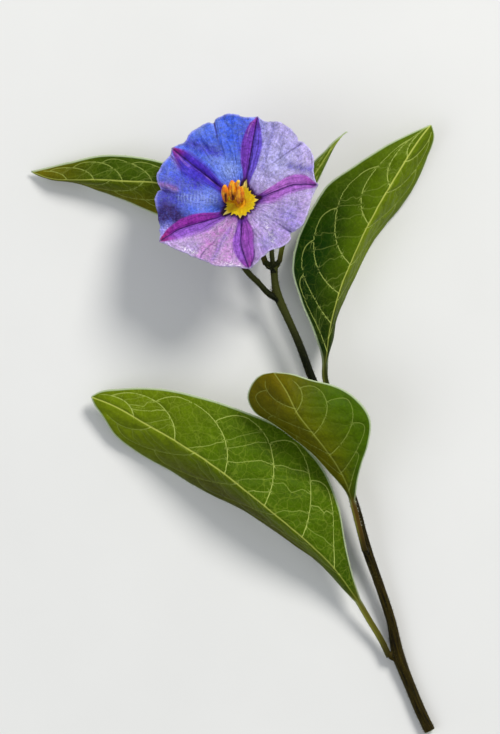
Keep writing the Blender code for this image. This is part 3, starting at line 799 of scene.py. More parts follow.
# %% Upper side
VEIN_HALF_WIDTH = 0.085
RIB_HALF_WIDTH = 0.13
MARGIN_HIGHLIGHT = 0.24
NET_WAVE = 1.6
BIG_CELL = 2.5
SMALL_CELL = 0.95


def upper_finish(name, foot):
    look = {**USUAL_LOOK, **LOOKS[name]}
    side_share, net_share, rib_share = VEIN_CONTRAST[name]
    green = Finish(name + "_upper", Specular_IOR_Level=0.06)
    ramp = green.ramp
    flat = green.mark_vector("flat")
    wavy = green.warped(flat, NET_WAVE, 1.1)
    along = green.mark("along")
    across = green.mark("across")
    grain = green.noise(flat, 0.45, 3.0, 0.6)
    big_net = green.net(wavy, BIG_CELL, 0.07)
    small_net = green.net(wavy, SMALL_CELL, 0.05)
    base_reach, base_share = look["dark_base"]
    # Painted light and shade: the left and right greens make the lit and the shaded half of the blade.
    colour = green.over(
        look["inner"],
        (look["left"], ramp(green.mark("from_rib"), 0.3, 6.0)),
        (look["right"], ramp(across, *look["turn"])),
        (look["tip"], ramp(along, *look["tip_range"], 0.0, 0.8)),
        (srgb(16, 42, 0), ramp(along, base_reach, 0.0, 0.0, base_share)),
    )
    colour = green.shaded(colour, 0.1 + 0.72 * green.noise(flat, 3.0, 4.0, 0.65) + 0.56 * grain)
    clear = ramp(across, -0.12, 0.0, look["left_veins"], 1.0)
    net = (big_net * 0.38 + small_net * 0.26) * ramp(along, 0.0, 0.07, 0.0, net_share)
    side_veins = green.line(green.mark("vein_off"), VEIN_HALF_WIDTH) * green.mark("vein_strength")
    rib = green.line(green.mark("rib_off"), RIB_HALF_WIDTH) * ramp(along, 0.0, 0.3, 0.3, 0.95)
    # Painted highlight: a pale line along the margin, for the light on its thin hairy edge.
    edge = ramp(green.mark("from_margin"), MARGIN_HIGHLIGHT * 0.5, MARGIN_HIGHLIGHT * 1.6, 0.9, 0.0)
    colour = green.over(
        colour,
        (green.mix(colour, srgb(142, 158, 52), 0.6), net * clear),
        (srgb(182, 196, 100), side_veins * side_share * clear),
        (srgb(176, 184, 84), rib * rib_share),
        # Painted light: the stalk's upper skin is lighter towards its left side, as if lit there.
        (green.mix(look["stalk"], srgb(146, 150, 62), ramp(across, 0.0, -0.8, 0.0, 0.6)),
         ramp(along, 0.06, -0.03, 0.0, 0.9)),
        (BARK_BROWN, ramp(along, foot * 0.4, foot, 0.0, 0.92)),
        (srgb(182, 198, 158), edge * ramp(along, -0.05, 0.1)),
    )
    bump = green.bump(grain - 0.7 * small_net - 0.4 * big_net, 0.06, 0.6)
    return green.finish(Base_Color=colour, Roughness=0.46 + 0.2 * grain, Normal=bump)


# %% Under side
def under_finish(name, foot):
    look = LOOKS[name]
    grey_green = Finish(name + "_under", Specular_IOR_Level=0.15)
    flat = grey_green.mark_vector("flat")
    wavy = grey_green.warped(flat, NET_WAVE, 1.1)
    mottled = grey_green.noise(flat, 1.1, 3.0)
    small_net = grey_green.net(wavy, SMALL_CELL, 0.07)
    net = small_net * 0.25 + grey_green.net(wavy, BIG_CELL, 0.1) * 0.4
    side_veins = grey_green.line(grey_green.mark("vein_off"), 0.13) * grey_green.mark("vein_strength")
    along = grey_green.mark("along")
    colour = grey_green.over(
        look["right"],
        (srgb(112, 134, 72), 0.5 + 0.35 * mottled),
        (srgb(150, 164, 96), net),
        (srgb(158, 170, 102), side_veins * 0.8),
        (srgb(160, 170, 100), grey_green.mark("rib") * 0.7),
        (look["stalk"], grey_green.ramp(along, 0.06, -0.03, 0.0, 0.9)),
        (BARK_BROWN, grey_green.ramp(along, foot * 0.4, foot, 0.0, 0.92)),
    )
    bump = grey_green.bump(mottled + small_net, 0.06, 0.6)
    return grey_green.finish(Base_Color=colour, Roughness=0.6 + 0.2 * mottled, Normal=bump)


# %% Make the leaves
def make_leaf(name):
    along, across, marks, upper, lower = leaf_skin(name)
    both = np.concatenate([upper, lower[:, ::-1], upper[:, :1]], axis=1)
    for passing in ("vein", "near_vein"):
        marks.pop(passing)
    kept = {"along": along, "across": across, **marks}
    around = {key: np.concatenate([m, m[:, ::-1], m[:, :1]], axis=1) for key, m in kept.items()}
    mesh = rolled(name + "_skin", both, around, second_finish_from=upper.shape[1] - 0.5)
    foot = float(along.min())
    print(name, "stalk from", round(foot, 2), "of the blade's length")
    piece(name + "_skin", mesh, [upper_finish(name, foot), under_finish(name, foot)], name)


for name in LEAVES:
    make_leaf(name)

# %% [markdown]
# ## The open flower
# Five petals have grown into one flat cup. A stripe runs from the eye to each of its five points,
# folded sharply along its middle, and the thin membrane between the stripes is crinkled like
# tissue. The cup is a grid wrapped round the throat: columns run like spokes and bend with the
# stripes, so that every fold can follow a column.

# %% The flower's own frame
FLOWER_CENTRE = np.array((0.57, 39.13, 16.19))
FLOWER_LEAN = math.radians(23.5)
FLOWER_LEAN_TOWARDS = math.radians(130)
lean_hinge = Vector((-math.sin(FLOWER_LEAN_TOWARDS), math.cos(FLOWER_LEAN_TOWARDS), 0.0))
flower_turn = np.array(Matrix.Rotation(FLOWER_LEAN, 3, lean_hinge))


def in_flower(points):
    """Points given along the flower's own axes, as places on the table."""
    return np.asarray(points) @ flower_turn.T + FLOWER_CENTRE


print("the flower's middle is at", FLOWER_CENTRE, "mm")

# %% The outline of the rim
RIM_SHIFT = np.array((0.2, 0.8))
THROAT_RADIUS = 1.0
TUBE_RADIUS = 1.7
BOWL_RADIUS = 14.0
STRIPES = ((2, 13.95), (77.5, 13.85), (144.5, 14.4), (213, 15.6), (280.7, 14.0))
LOBE_SHARES = (0.06, 0.15, 0.25, 0.35, 0.44, 0.56, 0.65, 0.75, 0.85, 0.94)
LOBE_RADII = (
    (13.2, 13.4, 14.0, 14.15, 13.95, 13.8, 13.9, 13.9, 13.4, 13.1),
    (13.3, 13.4, 13.85, 14.0, 14.0, 13.8, 13.9, 14.0, 13.6, 13.9),
    (14.0, 14.05, 14.3, 14.3, 13.9, 14.0, 14.0, 14.05, 14.2, 14.6),
    (14.6, 14.3, 13.55, 13.25, 13.1, 13.1, 13.35, 13.4, 13.2, 13.4),
    (13.3, 12.6, 12.3, 12.9, 13.1, 12.95, 13.3, 13.15, 13.0, 13.0),
)
TIP_HALF_ANGLE = 3.2
# Where each lobe has its notch: share of the way across, depth, and half width in degrees
NOTCHES = ((0.494, 0.55, 2.2), (0.497, 0.5, 2.0), (0.44, 0.4, 2.6), (0.5, 0.15, 3.0), (0.5, 1.25, 2.0))


def turned_from(degrees, start):
    """How far one bearing is from another, from -180 to 180 degrees."""
    return (degrees - start + 180) % 360 - 180


STARTS = [start for start, _ in STRIPES]
LOBE_WIDTHS = [(following - start) % 360 for start, following in zip(STARTS, STARTS[1:] + STARTS[:1])]


def rim_radius(degrees):
    knots = []
    for start, width, radii in zip(STARTS, LOBE_WIDTHS, LOBE_RADII):
        knots += [(start + share * width, radius) for share, radius in zip(LOBE_SHARES, radii)]
    knots = [(a + turn, r) for turn in (-360, 0, 360) for a, r in knots]
    radius = through(degrees, knots)
    for (start, tip), width, (share, depth, half) in zip(STRIPES, LOBE_WIDTHS, NOTCHES):
        base = through(np.array([start % 360]), knots)[0]
        off = np.abs(turned_from(degrees, start))
        radius += (tip - base) * np.exp(-((off / TIP_HALF_ANGLE) ** 1.3))
        off = np.abs(turned_from(degrees, start + share * width))
        radius -= depth * np.exp(-((off / half) ** 1.4))
    return radius


print("lobes, in degrees:", LOBE_WIDTHS)

# %% Columns like spokes, rows like rings
COLUMNS = 450
FACE_ROWS = 99
TUBE_ROWS = 6
TUBE_END = -4.6
# How far each stripe's middle line swings aside on its way out: share of the way and millimetres
BENDS = (
    ((0, 0), (0.2, 0.35), (0.4, 0.8), (0.65, 1.2), (0.85, 0.7), (1, 0)),
    ((0, 0), (0.5, 0.05), (1, 0)),
    ((0, 0), (0.5, -0.1), (1, 0)),
    ((0, 0), (0.2, 0.4), (0.45, -0.2), (0.7, -0.75), (0.9, -0.35), (1, 0)),
    ((0, 0), (0.3, -0.5), (0.6, -0.85), (0.85, -0.4), (1, 0)),
)
BEND_SPREAD = 17.0

turn_degrees = np.linspace(0.0, 360.0, COLUMNS + 1)
outward = np.linspace(0.0, 1.0, FACE_ROWS) ** 1.25
degrees = np.broadcast_to(turn_degrees, (FACE_ROWS, COLUMNS + 1))
rim = np.broadcast_to(rim_radius(turn_degrees), degrees.shape)
share = np.broadcast_to(outward[:, None], degrees.shape)
radius = THROAT_RADIUS + (rim - THROAT_RADIUS) * share

lobe_start = np.zeros_like(degrees)
lobe_width = np.ones_like(degrees)
for start, width in zip(STARTS, LOBE_WIDTHS):
    inside = (degrees - start) % 360 < width
    lobe_start = np.where(inside, start, lobe_start)
    lobe_width = np.where(inside, width, lobe_width)
phase = ((degrees - lobe_start) % 360) / lobe_width
nearest_stripe_degrees = np.minimum(phase, 1 - phase) * lobe_width

swing = np.zeros_like(degrees)
for start, bend in zip(STARTS, BENDS):
    swing += through(share, bend) * hump(turned_from(degrees, start), BEND_SPREAD)
bearing = np.radians(degrees) + swing / radius
spread = np.clip((radius - TUBE_RADIUS) / (BOWL_RADIUS - TUBE_RADIUS), 0.0, None)
flat_x = np.cos(bearing) * radius + RIM_SHIFT[0] * spread
flat_y = np.sin(bearing) * radius + RIM_SHIFT[1] * spread
print("rim from", round(rim.min(), 1), "to", round(rim.max(), 1), "mm")

# %% [markdown]
# The face is a shallow bowl. Towards the rim the membranes rise between the stripes, each stripe
# has a sharp fold down its middle, and the rim itself is ruffled. A few deep creases start at
# the notches of the rim. Their places were read off the photograph, as ends of short lines in
# the plane of the flower.

# %% Stripes and creases
# For each stripe, its anticlockwise side and then its other side: half width in millimetres at each
# of the shares of the way out, and how soft its edge is
SHARES = (0.0, 0.12, 0.28, 0.45, 0.62, 0.78, 0.92, 1.0)
STRIPE_SIDES = (
    (((0.3, 0.5, 1.1, 1.8, 2.3, 2.3, 1.7, 0.5), 0.5), ((0.3, 0.7, 1.3, 1.8, 1.7, 1.3, 0.8, 0.3), 1.2)),
    (((0.3, 0.35, 0.6, 1.5, 2.0, 1.75, 1.1, 0.2), 0.3), ((0.3, 0.6, 1.1, 1.7, 1.95, 1.7, 0.95, 0.2), 0.5)),
    (((0.4, 0.7, 1.2, 1.9, 2.6, 2.6, 1.4, 0.2), 1.5), ((0.4, 0.5, 0.9, 1.4, 1.7, 1.7, 1.2, 0.3), 1.3)),
    (((0.4, 0.6, 1.3, 1.9, 2.3, 2.1, 1.5, 0.4), 0.9), ((0.3, 0.4, 0.9, 1.6, 1.85, 1.6, 1.1, 0.2), 0.5)),
    (((0.4, 0.7, 1.3, 1.9, 2.1, 1.9, 1.2, 0.2), 0.5), ((0.4, 0.5, 0.9, 1.5, 1.9, 1.8, 1.1, 0.2), 0.7)),
)
# Ends of each crease, its depth and its half width in millimetres, and how dark the painted shade
# along it is
CREASES = (
    (((-4.4, 13.7), (-3.9, 11.4), (-3.5, 9.4)), 0.5, 0.2, 1.0),
    (((-9.0, 10.4), (-6.3, 9.5), (-3.8, 9.3)), 0.3, 0.55, 0.35),
    (((-11.9, 8.2), (-10.1, 6.0), (-9.6, 3.5)), 0.3, 0.3, 0.6),
    (((-13.7, 2.2), (-12.0, 1.5), (-10.2, 1.3)), 0.45, 0.2, 0.9),
    (((10.7, 8.7), (7.0, 6.9), (4.5, 5.5)), 0.4, 0.22, 0.6),
    (((10.2, -7.1), (8.0, -5.4), (6.2, -4.0)), 0.5, 0.25, 0.8),
    (((-5.9, -12.4), (-5.5, -10.0), (-3.8, -7.4)), 0.3, 0.16, 0.9),
    (((3.1, -13.0), (3.4, -10.0), (2.7, -5.5)), 0.35, 0.2, 0.85),
    (((-12.9, -3.4), (-9.5, -3.0)), 0.35, 0.6, 0.25),
    (((12.9, 5.6), (8.5, 4.6), (5.0, 2.6)), 0.2, 0.3, 0.1),
    (((6.0, 11.9), (4.4, 8.5)), 0.2, 0.2, 0.2),
    (((9.4, -9.0), (5.7, -6.4)), 0.2, 0.22, 0.15),
)
print("stripes:", len(STRIPE_SIDES), "and creases:", len(CREASES))

# %% Measure the stripes and creases on the face
# No crease is looked for further off than this
FAR_OFF = 2.0


def from_line(x, y, ends):
    """Distance to a bent line, and how far along it the nearest place is, 0 to 1."""
    best = np.full(x.shape, 1e9)
    where = np.zeros_like(x)
    count = len(ends) - 1
    for number, (a, b) in enumerate(zip(ends, ends[1:])):
        dx, dy = b[0] - a[0], b[1] - a[1]
        t = np.clip(((x - a[0]) * dx + (y - a[1]) * dy) / (dx * dx + dy * dy), 0, 1)
        away = np.hypot(x - a[0] - t * dx, y - a[1] - t * dy)
        where = np.where(away < best, (number + t) / count, where)
        best = np.minimum(best, away)
    return best, where


across_stripe = np.full(degrees.shape, 1e9)
stripe_mark = np.zeros_like(degrees)
stripe_number = np.zeros(degrees.shape, int)
lane = np.zeros_like(degrees)
for number, (start, sides) in enumerate(zip(STARTS, STRIPE_SIDES)):
    off = np.radians(turned_from(degrees, start)) * radius
    half = np.where(off > 0, *[through(share, list(zip(SHARES, side[0]))) for side in sides])
    softness = np.where(off > 0, sides[0][1], sides[1][1])
    closer = np.abs(off) < np.abs(across_stripe)
    across_stripe = np.where(closer, off, across_stripe)
    stripe_number = np.where(closer, number, stripe_number)
    lane = np.where(closer, off / half, lane)
    inside = 1 - step_up(np.abs(off), half * (1 - softness * 0.7), half * (1 + softness * 0.5))
    stripe_mark = np.maximum(stripe_mark, inside)

crease_depth = np.zeros_like(degrees)
crease_off = np.full(degrees.shape, FAR_OFF)
crease_shade = np.zeros_like(degrees)
for ends, depth, half, darkness in CREASES:
    away, where = from_line(flat_x, flat_y, ends)
    fading = 1 - 0.75 * where
    crease_depth += depth * hump(away, half * 2) * fading
    (start_x, start_y), (end_x, end_y) = ends[0], ends[-1]
    side = np.sign((end_x - start_x) * (flat_y - start_y) - (end_y - start_y) * (flat_x - start_x))
    closer = away < np.abs(crease_off)
    crease_off = np.where(closer, away * side, crease_off)
    crease_shade = np.where(closer, darkness * fading * hump(away, 0.7), crease_shade)
print("share of the face that its stripes take:", round(float((stripe_mark > 0.5).mean()), 2))

# %% The height of the face
BOWL_DEPTH = 3.0
MEMBRANE_RISE = 0.55
FOLD_DEPTH = 0.34
RUFFLE = 0.34
CRINKLE = 0.24
KEEL = 0.22
PLEATS = 0.15
TICK_DEPTH = 0.09
TICK_SPACING = 0.52
TICK_LINE = ((-10.4, 0.7), (-3.6, 0.5))
TICK_LINE_LENGTH = 6.8


def sharp_ridges(points, size, shift=0.0):
    """Noise folded over, so that it has narrow crests: from 0 up to 1 on a crest."""
    return (1 - 2.2 * np.abs(noise_at(points, size, shift))).clip(0) ** 2


def round_axis(turn, radius, height):
    """Points at bearings round the z axis."""
    return np.stack([np.cos(turn) * radius, np.sin(turn) * radius, height], axis=-1)


plane = np.stack([flat_x, flat_y, np.zeros_like(flat_x)], axis=-1)
spokes = round_axis(bearing, 1.0, radius * 0.03)
rings = round_axis(bearing, 5.5, radius / 0.42)
out = radius / BOWL_RADIUS
open_membrane = step_up(share, 0.12, 0.3)
to_stripe = radius * np.sin(np.radians(nearest_stripe_degrees))
height = MEMBRANE_RISE * out**2 * (1 - hump(to_stripe, 2.2)) - BOWL_DEPTH * (1 - out**1.5)
fold = np.exp(-np.abs(across_stripe) / 0.35) * step_up(share, 0.06, 0.3)
fold = fold * (1 - 0.4 * step_up(share, 0.8, 1))
keel = KEEL * hump(np.abs(lane) - 0.45, 0.4) * step_up(share, 0.1, 0.35)
ruffles = RUFFLE * noise_at(plane, 2.3, 4.0) * step_up(share, 0.7, 1.0)
waves = 0.46 * noise_at(plane, 3.2, 17.0) + 0.24 * noise_at(plane, 1.5, 6.0)
waves = waves * step_up(share, 0.2, 0.5)
wrinkles = 0.4 * sharp_ridges(rings, 1.0, 12.0) + 0.6 * sharp_ridges(spokes, 0.075, 21.0)
crinkle_mark = 0.25 * sharp_ridges(plane, 0.6, 8.0) + wrinkles
crinkle_mark = crinkle_mark * open_membrane * (1 - 0.5 * stripe_mark)
pleats = PLEATS * noise_at(spokes, 0.05, 5.0) * step_up(share, 0.08, 0.25)
away, where = from_line(flat_x, flat_y, TICK_LINE)
tick_turn = where * TICK_LINE_LENGTH * 2 * math.pi / TICK_SPACING
ticks = np.sin(tick_turn + 1.6 * noise_at(plane, 1.2, 2.0)) * hump(away, 0.8)
face_height = height - FOLD_DEPTH * fold + keel + ruffles + waves + CRINKLE * crinkle_mark + pleats
face_height = face_height + TICK_DEPTH * ticks - crease_depth - 0.2
face = np.stack([flat_x, flat_y, face_height], axis=-1)
print("face from", round(face_height.min(), 1), "to", round(face_height.max(), 1), "mm")

# %% [markdown]
# Round the throat lies a dark ring, and on it a yellow star with rays of uneven length. Both are
# kept as the distance to their own edge, so the finish can draw them sharper than the mesh is
# fine. Away from the eye, soft strokes say where the petals are bluer, paler or in shade.

# %% The eye: a spiky yellow star in a dark ring
STAR_RADIUS = 2.3
# Bearing in degrees, length beyond the star's disc in millimetres and half width in degrees
LONG_RAYS = ((76, 1.75, 13), (62, 0.5, 9), (3, 0.95, 12), (332, 0.6, 10), (291, 0.6, 9), (272, 0.75, 10),
             (219, 1.45, 11), (206, 0.75, 9), (145, 0.9, 12), (18, 0.6, 8), (347, 0.5, 8))
star_rng = np.random.default_rng(11)
short_rays = [(middle + star_rng.uniform(-4, 4), star_rng.uniform(0.25, 0.6), star_rng.uniform(4, 7))
              for middle in range(0, 360, 15)]
# How much further the dark ring reaches along each stripe, and how wide it is at least
STRIPE_REACHES = (1.0, 1.1, 1.0, 1.2, 0.6)
RING_RADIUS_AT_EYE = 2.9
NARROWEST_RING = 0.34

ray = np.zeros_like(degrees)
for middle, length, half in [*LONG_RAYS, *short_rays]:
    off = np.abs(turned_from(np.degrees(bearing), middle))
    ray = np.maximum(ray, length * np.clip(1 - off / half, 0, None) ** 1.2)
star_edge = STAR_RADIUS + ray
stripe_reach = np.zeros_like(degrees)
for start, length in zip(STARTS, STRIPE_REACHES):
    stripe_reach = np.maximum(stripe_reach, length * hump(turned_from(degrees, start), 14))
ring_edge = RING_RADIUS_AT_EYE + stripe_reach + 0.4 * noise_at(spokes, 0.1, 2.0)
ring_edge = np.maximum(ring_edge, star_edge + NARROWEST_RING)
print("star out to", round(star_edge.max(), 1), "and ring out to", round(ring_edge.max(), 1), "mm")

# %% Tones round the flower, on its stripes and in soft strokes
# Bearing in degrees and share of the tone: blue above and to the left, pink below. This is partly
# the petals' own colour and partly painted light and shade: bluer where the cup faces away from the
# light, pinker where it is lit.
BLUE_ROUND = ((-40, 0.12), (2, 0.12), (40, 0.2), (68, 0.35), (84, 0.95), (140, 1.0), (180, 0.92),
              (206, 0.8), (216, 0.25), (245, 0.0), (281, 0.05), (320, 0.12), (362, 0.12), (400, 0.2))
PINK_ROUND = ((-40, 0.45), (2, 0.3), (40, 0.12), (80, 0.0), (200, 0.0), (214, 0.4), (235, 0.85),
              (270, 0.8), (300, 0.45), (320, 0.42), (362, 0.3), (400, 0.12))


def painted(*strokes):
    """A mark made of soft strokes. Each has its strength, its half width and its places."""
    total = 0.0
    for strength, size, *places in strokes:
        if len(places) == 1:
            away = np.hypot(flat_x - places[0][0], flat_y - places[0][1])
        else:
            away, _ = from_line(flat_x, flat_y, places)
        total = total + strength * hump(away, size)
    return np.clip(total, 0, 1)


# On each side of each stripe: how warm and how light its violet is, and how red its tip gets. The
# lightness is partly painted light and shade: stripes and sides that face the light are lighter,
# those turned from it darker.
STRIPE_TONES = (
    ((0.85, 0.95, 0.15), (0.75, 0.95, 0.15)),
    ((0.42, 0.2, 0.4), (0.05, 0.5, 0.3)),
    ((0.02, 0.06, 0.8), (0.12, 0.0, 1.0)),
    ((0.5, 0.6, 0.8), (0.9, 0.04, 0.9)),
    ((0.78, 0.4, 0.4), (0.55, 0.6, 0.4)),
)
print("warmest stripe side:", max(side[0] for sides in STRIPE_TONES for side in sides))

# %% All that the finish of the petals reads
tones = np.array(STRIPE_TONES)[stripe_number, (across_stripe < 0).astype(int)]
petal_marks = {
    "blue": through(degrees, BLUE_ROUND),
    "pink": np.clip(through(degrees, PINK_ROUND), 0, 1),
    # Painted shade: deep blue where the membrane folds, beside and under the stripes, and over the left lobe.
    "deep": painted(
        (0.9, 1.0, (-8.7, 10.3), (-6.3, 9.3), (-4.0, 8.6)), (0.5, 0.9, (1.1, 13), (0, 9)),
        (0.65, 0.6, (9.1, 5.2), (13.3, 3.9)), (0.5, 1.2, (-9.8, 6.4), (-7.4, 3.2)),
        (0.6, 2.0, (-12.3, -0.3)), (0.45, 1.8, (-6.5, 3.8)), (0.6, 3.4, (-10.8, 2.4)),
    ),
    "cool": painted(
        (0.55, 2.2, (8.9, -3.4)), (0.5, 2.4, (5.9, -8.2)), (0.4, 1.6, (10.6, -6.0)),
        (0.35, 0.5, (-1.5, -5.0), (-3.5, -11.0)), (0.3, 0.7, (6.0, 11.9), (4.0, 6.0)),
    ),
    "pale": painted(
        (1.0, 1.9, (-1.9, 5.6)), (0.6, 1.6, (-4.5, 8.0)), (0.45, 2.4, (-6.3, 0.9)), (0.5, 3.5, (7.0, 6.0)),
        (0.4, 2.2, (5.0, -3.4)), (0.5, 1.2, (-7.0, 12.3)), (0.6, 1.6, (-7.6, -9.1)), (0.4, 0.8, (-4.2, 12.9)),
    ),
    "shadow": painted(
        (1.1, 1.7, (-12.9, -3.2), (-11.2, -2.2), (-9.8, -3.4)), (0.4, 1.2, (-12.8, -1.0)),
        (0.3, 2.8, (-11.6, 1.6)),
    ),
    "sparkle": painted(
        (1.0, 0.5, (4.9, -4.7), (6.7, -8.0)), (1.0, 0.5, (-8.8, -9.0), (-6.6, -9.8)),
        (1.0, 0.8, (-0.9, -12.2)), (0.5, 0.5, (-11.9, -5.0)), (0.6, 0.5, (-3.0, -11.8), (1.2, -12.4)),
    ),
    "rosy": painted(
        (0.8, 0.5, (-13.4, 2.9), (-10.8, 2.1)), (0.5, 0.5, (-11.6, 8.0), (-10.2, 6.2)),
    ),
    "crease_off": crease_off,
    "crease_shade": crease_shade,
    "crinkle": crinkle_mark,
    "ticks": ticks.clip(0),
    "stripe": stripe_mark,
    "lane": lane,
    "warm": tones[..., 0],
    # Partly painted light and shade: how light the stripe's violet is on each side of its fold.
    "light": tones[..., 1] * (1 - 0.5 * step_up(share, 0.8, 1.0)),
    "tip": tones[..., 2] * step_up(share, 0.8, 1.0) * stripe_mark,
    "fold_off": across_stripe,
    "fold": step_up(share, 0.1, 0.3),
    "star": star_edge - radius,
    "ring": ring_edge - radius,
    "ray": step_up(radius, STAR_RADIUS, STAR_RADIUS + 1.0),
    "rim": step_up(share, 0.975, 1.0),
    "stripe_place": np.stack([lane, radius * 0.1, stripe_number * 7.0], axis=-1),
    "spokes": spokes,
}
print("marks on the petals:", len(petal_marks))

# %% [markdown]
# ## Petal colours
# Pigment and structure both matter here. The membrane goes from blue at the upper left to
# pinkish lilac at the lower right, partly its own colour and partly painted light and shade: bluer
# where the cup faces away from the light, pinker where it is lit. The stripes are violet to magenta
# with darker lengthwise veins; each is lighter where it faces the light, and the fold in its middle
# is painted almost black violet as shade in the crease. Fine dots and radial veins keep the
# surface alive close up. All masks are attributes on the mesh, so they bend with the petals.

# %% The fine grain of the petals
def add_grain(petal):
    """Dots, clouds, veins that run outwards, streaks along the stripes, and fine lines."""
    place = petal.place()
    spoke = petal.mark_vector("spokes")
    lengthwise = petal.scaled(petal.mark_vector("stripe_place"), (2.6, 1.0, 1.0))
    petal.dots = petal.noise(place, 0.3 * MM, 3.0, 0.65)
    petal.clouds = petal.noise(place, 1.7 * MM, 3.0)
    petal.radial = petal.noise(spoke, 0.022, 3.0)
    petal.streaks = petal.noise(lengthwise, 1.0, 3.0, 0.6)
    kinked = petal.noise(petal.scaled(spoke, (5.5, 5.5, 75.0)), 1.0, 3.0, 0.6)
    petal.squiggles = petal.line(kinked - 0.5, 0.016)
    petal.tissue = petal.line(petal.noise(place, 0.8 * MM, 2.0, 0.5) - 0.5, 0.014)
    petal.rough = petal.ramp(petal.dots, 0.35, 0.66)
    streaky = petal.ramp(petal.radial, 0.35, 0.66)
    petal.mottle = 0.5 + 0.36 * petal.rough + 0.42 * streaky + 0.26 * petal.ramp(petal.clouds, 0.35, 0.65)
    petal.blue_mottle = 0.15 + 0.85 * petal.mottle


# %% The membrane between the stripes
def membrane(petal):
    mark, ramp = petal.mark, petal.ramp
    # Blue and pink are partly the petals' own colour, partly painted shade and painted light; the deep blue
    # is painted shade in the folds and beside the stripes.
    colour = petal.over(
        srgb(218, 202, 255),
        (srgb(62, 100, 240), mark("blue") * (0.68 + 0.6 * petal.clouds)),
        (srgb(126, 128, 232), ramp(petal.radial, 0.52, 0.7) * (0.55 - 0.4 * mark("blue"))),
        (srgb(178, 98, 182), mark("pink") * (0.5 + 0.8 * petal.clouds)),
        (srgb(168, 190, 242), mark("pale") * (0.3 + 0.6 * petal.dots)),
        (srgb(112, 104, 214), mark("cool")),
        (srgb(58, 44, 196), mark("deep")),
        (srgb(176, 116, 184), mark("rosy")),
    )
    # Painted highlights: lighter along the crinkle crests and the tick ridges; the fine squiggles and tissue
    # lines are the petal's own pale net.
    pale_net_and_crest_highlights = mark("crinkle") * 0.22 + petal.squiggles * 0.3 + petal.tissue * 0.16 + mark("ticks") * 0.6
    return petal.over(
        petal.shaded(colour, petal.mottle, petal.blue_mottle),
        (petal.mix(srgb(244, 234, 255), srgb(158, 184, 252), mark("blue")), pale_net_and_crest_highlights),
        (srgb(50, 28, 96), mark("shadow") * (1.05 - 0.25 * petal.rough)),
        (srgb(250, 246, 255), mark("sparkle") * ramp(petal.dots, 0.5, 0.6)),
    )


# %% The stripes, their folds and the creases
def with_stripes(petal, colour):
    mark, ramp = petal.mark, petal.ramp
    lanes = mark("lane") * 2.6 + 1.6 * (petal.streaks - 0.5)
    lanes = lanes.maths("FRACT", lanes) - 0.5
    light_violet = petal.mix(srgb(132, 110, 236), srgb(206, 118, 220), mark("warm"))
    violet = petal.over(
        srgb(60, 44, 200),
        (srgb(148, 32, 156), mark("warm")),
        # Partly painted light: the lighter violet goes where the stripe's side faces the light.
        (light_violet, mark("light") * (0.75 + 0.5 * petal.clouds)),
        (srgb(60, 12, 104), petal.line(lanes, 0.075) * 0.5),
        (srgb(190, 138, 224), ramp(petal.streaks, 0.58, 0.72) * 0.5),
        (srgb(158, 22, 96), mark("tip")),
    )
    violet = petal.shaded(violet, petal.mottle, petal.blue_mottle, 0.6)
    ragged = ramp(mark("stripe") + 0.9 * (petal.streaks - 0.5), 0.18, 0.92)
    return petal.over(
        colour,
        (violet, ragged * ramp(mark("stripe"), 0.02, 0.2)),
        # Painted shade: a near black violet line down the fold of each stripe.
        (srgb(46, 10, 92), petal.line(mark("fold_off"), 0.13) * mark("fold") * 0.9),
        # Painted shade: a dark line down each crease.
        (srgb(44, 16, 104), petal.line(mark("crease_off"), 0.15) * mark("crease_shade")),
    )


# %% The eye
def with_eye(petal, colour):
    mark, ramp = petal.mark, petal.ramp
    halo = ramp(mark("ring") + 1.6 * (petal.radial - 0.5), -1.7, 0.1)
    ring = ramp(mark("ring") + 0.9 * (petal.radial - 0.5), -0.45, 0.25)
    gold = petal.over(
        srgb(255, 220, 0),
        (srgb(255, 194, 0), ramp(mark("star"), 0.4, 1.9)),
        (srgb(230, 156, 0), ramp(petal.clouds, 0.5, 0.7) * 0.35),
        (srgb(255, 240, 150), mark("ray") * 0.75),
        (srgb(255, 226, 92), ramp(petal.dots, 0.56, 0.7) * 0.5),
    )
    return petal.over(
        colour,
        (srgb(84, 34, 150), halo * (0.35 + 0.35 * mark("stripe"))),
        (petal.mix(srgb(70, 22, 108), srgb(40, 4, 30), ramp(mark("ring"), 0.0, 0.4)), ring * 0.97),
        (gold, ramp(mark("star"), -0.03, 0.04)),
    )


# %% The finish of the face, and its faded kind for the back
def petal_finish(name, faded):
    petal = Finish(name, Specular_IOR_Level=0.22)
    add_grain(petal)
    colour = with_stripes(petal, membrane(petal))
    if not faded:
        colour = with_eye(petal, colour)
    # Painted highlight: the rim is paler where its edge catches the light, partly its own pale edge; none
    # where the painted shadow lies.
    rim = petal.mark("rim") * (0.5 - 0.5 * petal.mark("shadow"))
    colour = petal.mix(colour, srgb(206, 200, 244), rim)
    if faded:
        colour = petal.mix(colour, srgb(176, 162, 214), 0.5)
    relief = petal.dots * 0.55 + petal.radial * 1.2 + petal.tissue * 0.4 + petal.squiggles * 0.6
    bump = petal.bump(relief, 0.14)
    return petal.finish(Base_Color=colour, Roughness=0.38 + 0.25 * petal.dots, Normal=bump)


# %% Wrap the grid round the throat
PETAL_THICKNESS = 0.24
drop = np.linspace(1.0, 0.0, TUBE_ROWS + 1)[:-1, None]
tube = np.repeat(face[:1], TUBE_ROWS, axis=0)
tube[..., 2] += (TUBE_END - face[0, :, 2]) * drop
cup = np.concatenate([tube, face])[::-1]


def with_tube(mark):
    """The marks of the tube are those of the throat's edge."""
    return np.concatenate([np.repeat(mark[:1], TUBE_ROWS, axis=0), mark])[::-1]


